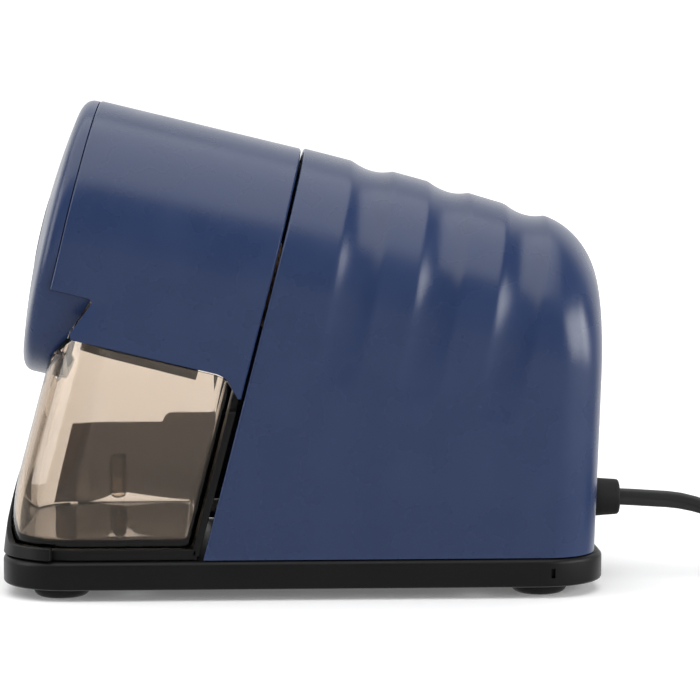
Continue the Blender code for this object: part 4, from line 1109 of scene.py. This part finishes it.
def make_room():
    """The pale floor. It glows a little farther back, so that it ends as white as the backdrop."""
    half = FLOOR_HALF
    corners = ((-half, -half), (half, -half), (half, half), (-half, half))
    rings = [[(x, y, z) for x, y in corners] for z in (-FLOOR_THICK, 0.0)]
    mesh = bpy.data.meshes.new("floor")
    points, faces = loft(rings)
    mesh.from_pydata(points, [], faces)
    floor = bpy.data.objects.new("floor", mesh)
    bpy.context.scene.collection.objects.link(floor)
    material = bpy.data.materials.new("pale_floor")
    material.use_nodes = True
    tree = material.node_tree
    shader = tree.nodes["Principled BSDF"]
    shader.inputs["Base Color"].default_value = (FLOOR_WHITE, FLOOR_WHITE, FLOOR_WHITE, 1.0)
    shader.inputs["Roughness"].default_value = 0.9
    shader.inputs["Specular IOR Level"].default_value = 0.1
    shader.inputs["Emission Color"].default_value = (1.0, 1.0, 1.0, 1.0)
    place = add(tree, "ShaderNodeSeparateXYZ")
    tree.links.new(add(tree, "ShaderNodeTexCoord").outputs["Object"], place.inputs["Vector"])
    far = spread(tree, place.outputs["Y"], 0.0, 1.2, 0.12, SKY_SEEN)
    tree.links.new(far, shader.inputs["Emission Strength"])
    mesh.materials.append(material)
    floor.visible_glossy = False


def make_sky():
    """A white backdrop, and a dimmer room in front of it that only adds light."""
    world = bpy.data.worlds.new("studio")
    bpy.context.scene.world = world
    world.use_nodes = True
    tree = world.node_tree
    ground = tree.nodes["Background"]
    toward = add(tree, "ShaderNodeSeparateXYZ")
    tree.links.new(add(tree, "ShaderNodeTexCoord").outputs["Generated"], toward.inputs["Vector"])
    room = spread(tree, toward.outputs["Z"], -0.06, 0.10, SKY_GROUND, SKY_ROOM)
    behind = spread(tree, toward.outputs["Y"], 0.25, 0.75, 0.0, SKY_BACKDROP)
    around = combined(tree, "MAXIMUM", room, behind)
    rays = add(tree, "ShaderNodeLightPath").outputs
    seen = combined(tree, "MAXIMUM", rays["Is Camera Ray"], rays["Is Transmission Ray"])
    clear = spread(tree, seen, 0.0, 1.0, 0.0, SKY_SEEN)
    level = combined(tree, "MAXIMUM", around, clear)
    tree.links.new(level, ground.inputs["Strength"])
    ground.inputs["Color"].default_value = (1.0, 1.0, 1.0, 1.0)


def make_lights():
    soft_light("overhead", (-0.2, -0.12, 0.9), (-0.2, -0.12, 0.0), 1.5, 1.15, 11.0)
    fill = soft_light("front_fill", (0.1, -1.5, 0.25), (0.0, 0.0, 0.06), 1.6, 0.9, 9.0)
    fill.visible_glossy = False
    soft_light("left_key", (-0.95, -0.1, 0.42), (-0.06, 0.0, 0.08), 0.6, 0.7, 4.0)
    soft_light("right_rim", (0.9, -0.5, 0.36), (0.08, 0.0, 0.08), 0.55, 0.5, 5.0)
    soft_light("right_edge", (0.95, -0.1, 0.27), (0.08, 0.0, 0.07), 0.22, 0.4, 2.2)
    bpy.context.scene.view_settings.view_transform = "Standard"


# ---------------------------------------------------------------- the whole


def finishes():
    """One finish for each of the record's material slots."""
    steel = {"metallic": 1.0, "mottle": 0.05, "depth": 0.01, "strength": 0.25}
    tilted = {"turn": -BARREL_TILT}
    navy, black = (0.0155, 0.0305, 0.0860), (0.006, 0.006, 0.0062)
    rubber, vinyl = (0.009, 0.0088, 0.0088), (0.014, 0.014, 0.0145)
    # The last band number sets the painted shade between the sheets and between the wires.
    sheets = {"metallic": 0.9, "bands": ("X", 0.7, 0.1, 0.7), **tilted}
    wound = {"metallic": 0.7, "bands": ("Y", 0.6, 0.25, 0.6), "coat": 0.4}
    waxy = {"depth": 0.03, "strength": 0.2, "mottle": 0.04, "worn": (0.85, 0.84, 0.8)}
    plated = {"stretch": (0.08, 1.0, 1.0), **tilted, **steel}
    return {
        "navy_moulding": surface("navy_moulded", navy, 0.28, 0.42, 0.06, 0.35),
        "black_moulding": surface("black_moulded", black, 0.42, 0.5, 0.05, 0.25, specular=0.22),
        "smoke_moulding": clear_smoke(),
        "black_rubber": surface("black_rubber", rubber, 0.7, 0.6, 0.06, 0.4, wear=0.1, specular=0.3),
        "black_vinyl": surface("black_vinyl", vinyl, 0.45, 0.8, 0.03, 0.25, wear=0.1),
        "bright_steel": surface("bright_steel", (0.60, 0.60, 0.61), 0.28, 0.5, **plated),
        "tool_steel": surface(
            "tool_steel", (0.40, 0.40, 0.42), 0.26, 0.35, stretch=(0.1, 1.0, 1.0), **steel
        ),
        "cast_zinc": surface(
            "cast_zinc", (0.45, 0.46, 0.48), 0.48, 0.9, 0.06, 0.4, 0.1, metallic=1.0
        ),
        "nylon": surface("nylon", (0.78, 0.76, 0.70), 0.42, 0.7, **waxy),
        "lamination_steel": surface("laminations", (0.22, 0.21, 0.21), 0.45, 0.5, **sheets),
        "copper_winding": surface("copper_winding", (0.50, 0.16, 0.06), 0.3, 0.6, **wound),
        "bronze_bush": surface(
            "bronze_bush", (0.50, 0.33, 0.17), 0.5, 0.5, 0.05, 0.4, 0.12, metallic=0.9
        ),
        "brass": surface(
            "brass", (0.75, 0.55, 0.25), 0.28, 0.4, stretch=(0.12, 1.0, 1.0), **steel
        ),
    }


def finish_nodes(looks):
    """Gives each CAD node that still shows the finish of its slot, with its sharp edges eased."""
    slots = {part["node"]: part["material_slot"] for part in frame["record"]["subparts"]}
    for name, obj in frame["nodes"].items():
        if obj.hide_render:
            continue
        if not obj.material_slots:
            obj.data.materials.append(None)
        for holder in obj.material_slots:
            holder.link = "OBJECT"
            holder.material = looks[slots[name]]
        ease = obj.modifiers.new("ease", "BEVEL")
        ease.width = 0.12 * MM
        ease.segments = 2
        ease.limit_method = "ANGLE"
        ease.angle_limit = math.radians(50.0)


def main():
    make_camera()
    looks = finishes()
    black, navy, smoke = looks["black_moulding"], looks["navy_moulding"], looks["smoke_moulding"]
    lead, path = make_lead(looks["black_vinyl"])
    on_lead = make_plug(looks["black_vinyl"], looks["brass"])
    on_lead += [make_tie(black), make_strain_relief(looks["black_rubber"])]
    make_base(black)
    make_feet(looks["black_rubber"])
    make_front_housing(navy)
    make_front_cap(navy)
    make_rear_housing(navy)
    side = surface("bay_side_moulded", (0.19, 0.16, 0.155), 0.4, 0.5, 0.05, 0.25)
    make_bay_frame(black, side)
    make_receptacle(smoke)
    make_drawer_rib(smoke)
    # The rim's near-black colour is painted shade, not the colour of the clear plastic.
    make_drawer_rim_shade(surface("drawer_rim_painted_shade", (0.045, 0.04, 0.04), 0.2, 0.5, 0.02, 0.15))
    make_pull(black)
    make_guide(black)
    finish_nodes(looks)
    make_room()
    make_sky()
    make_lights()


main()
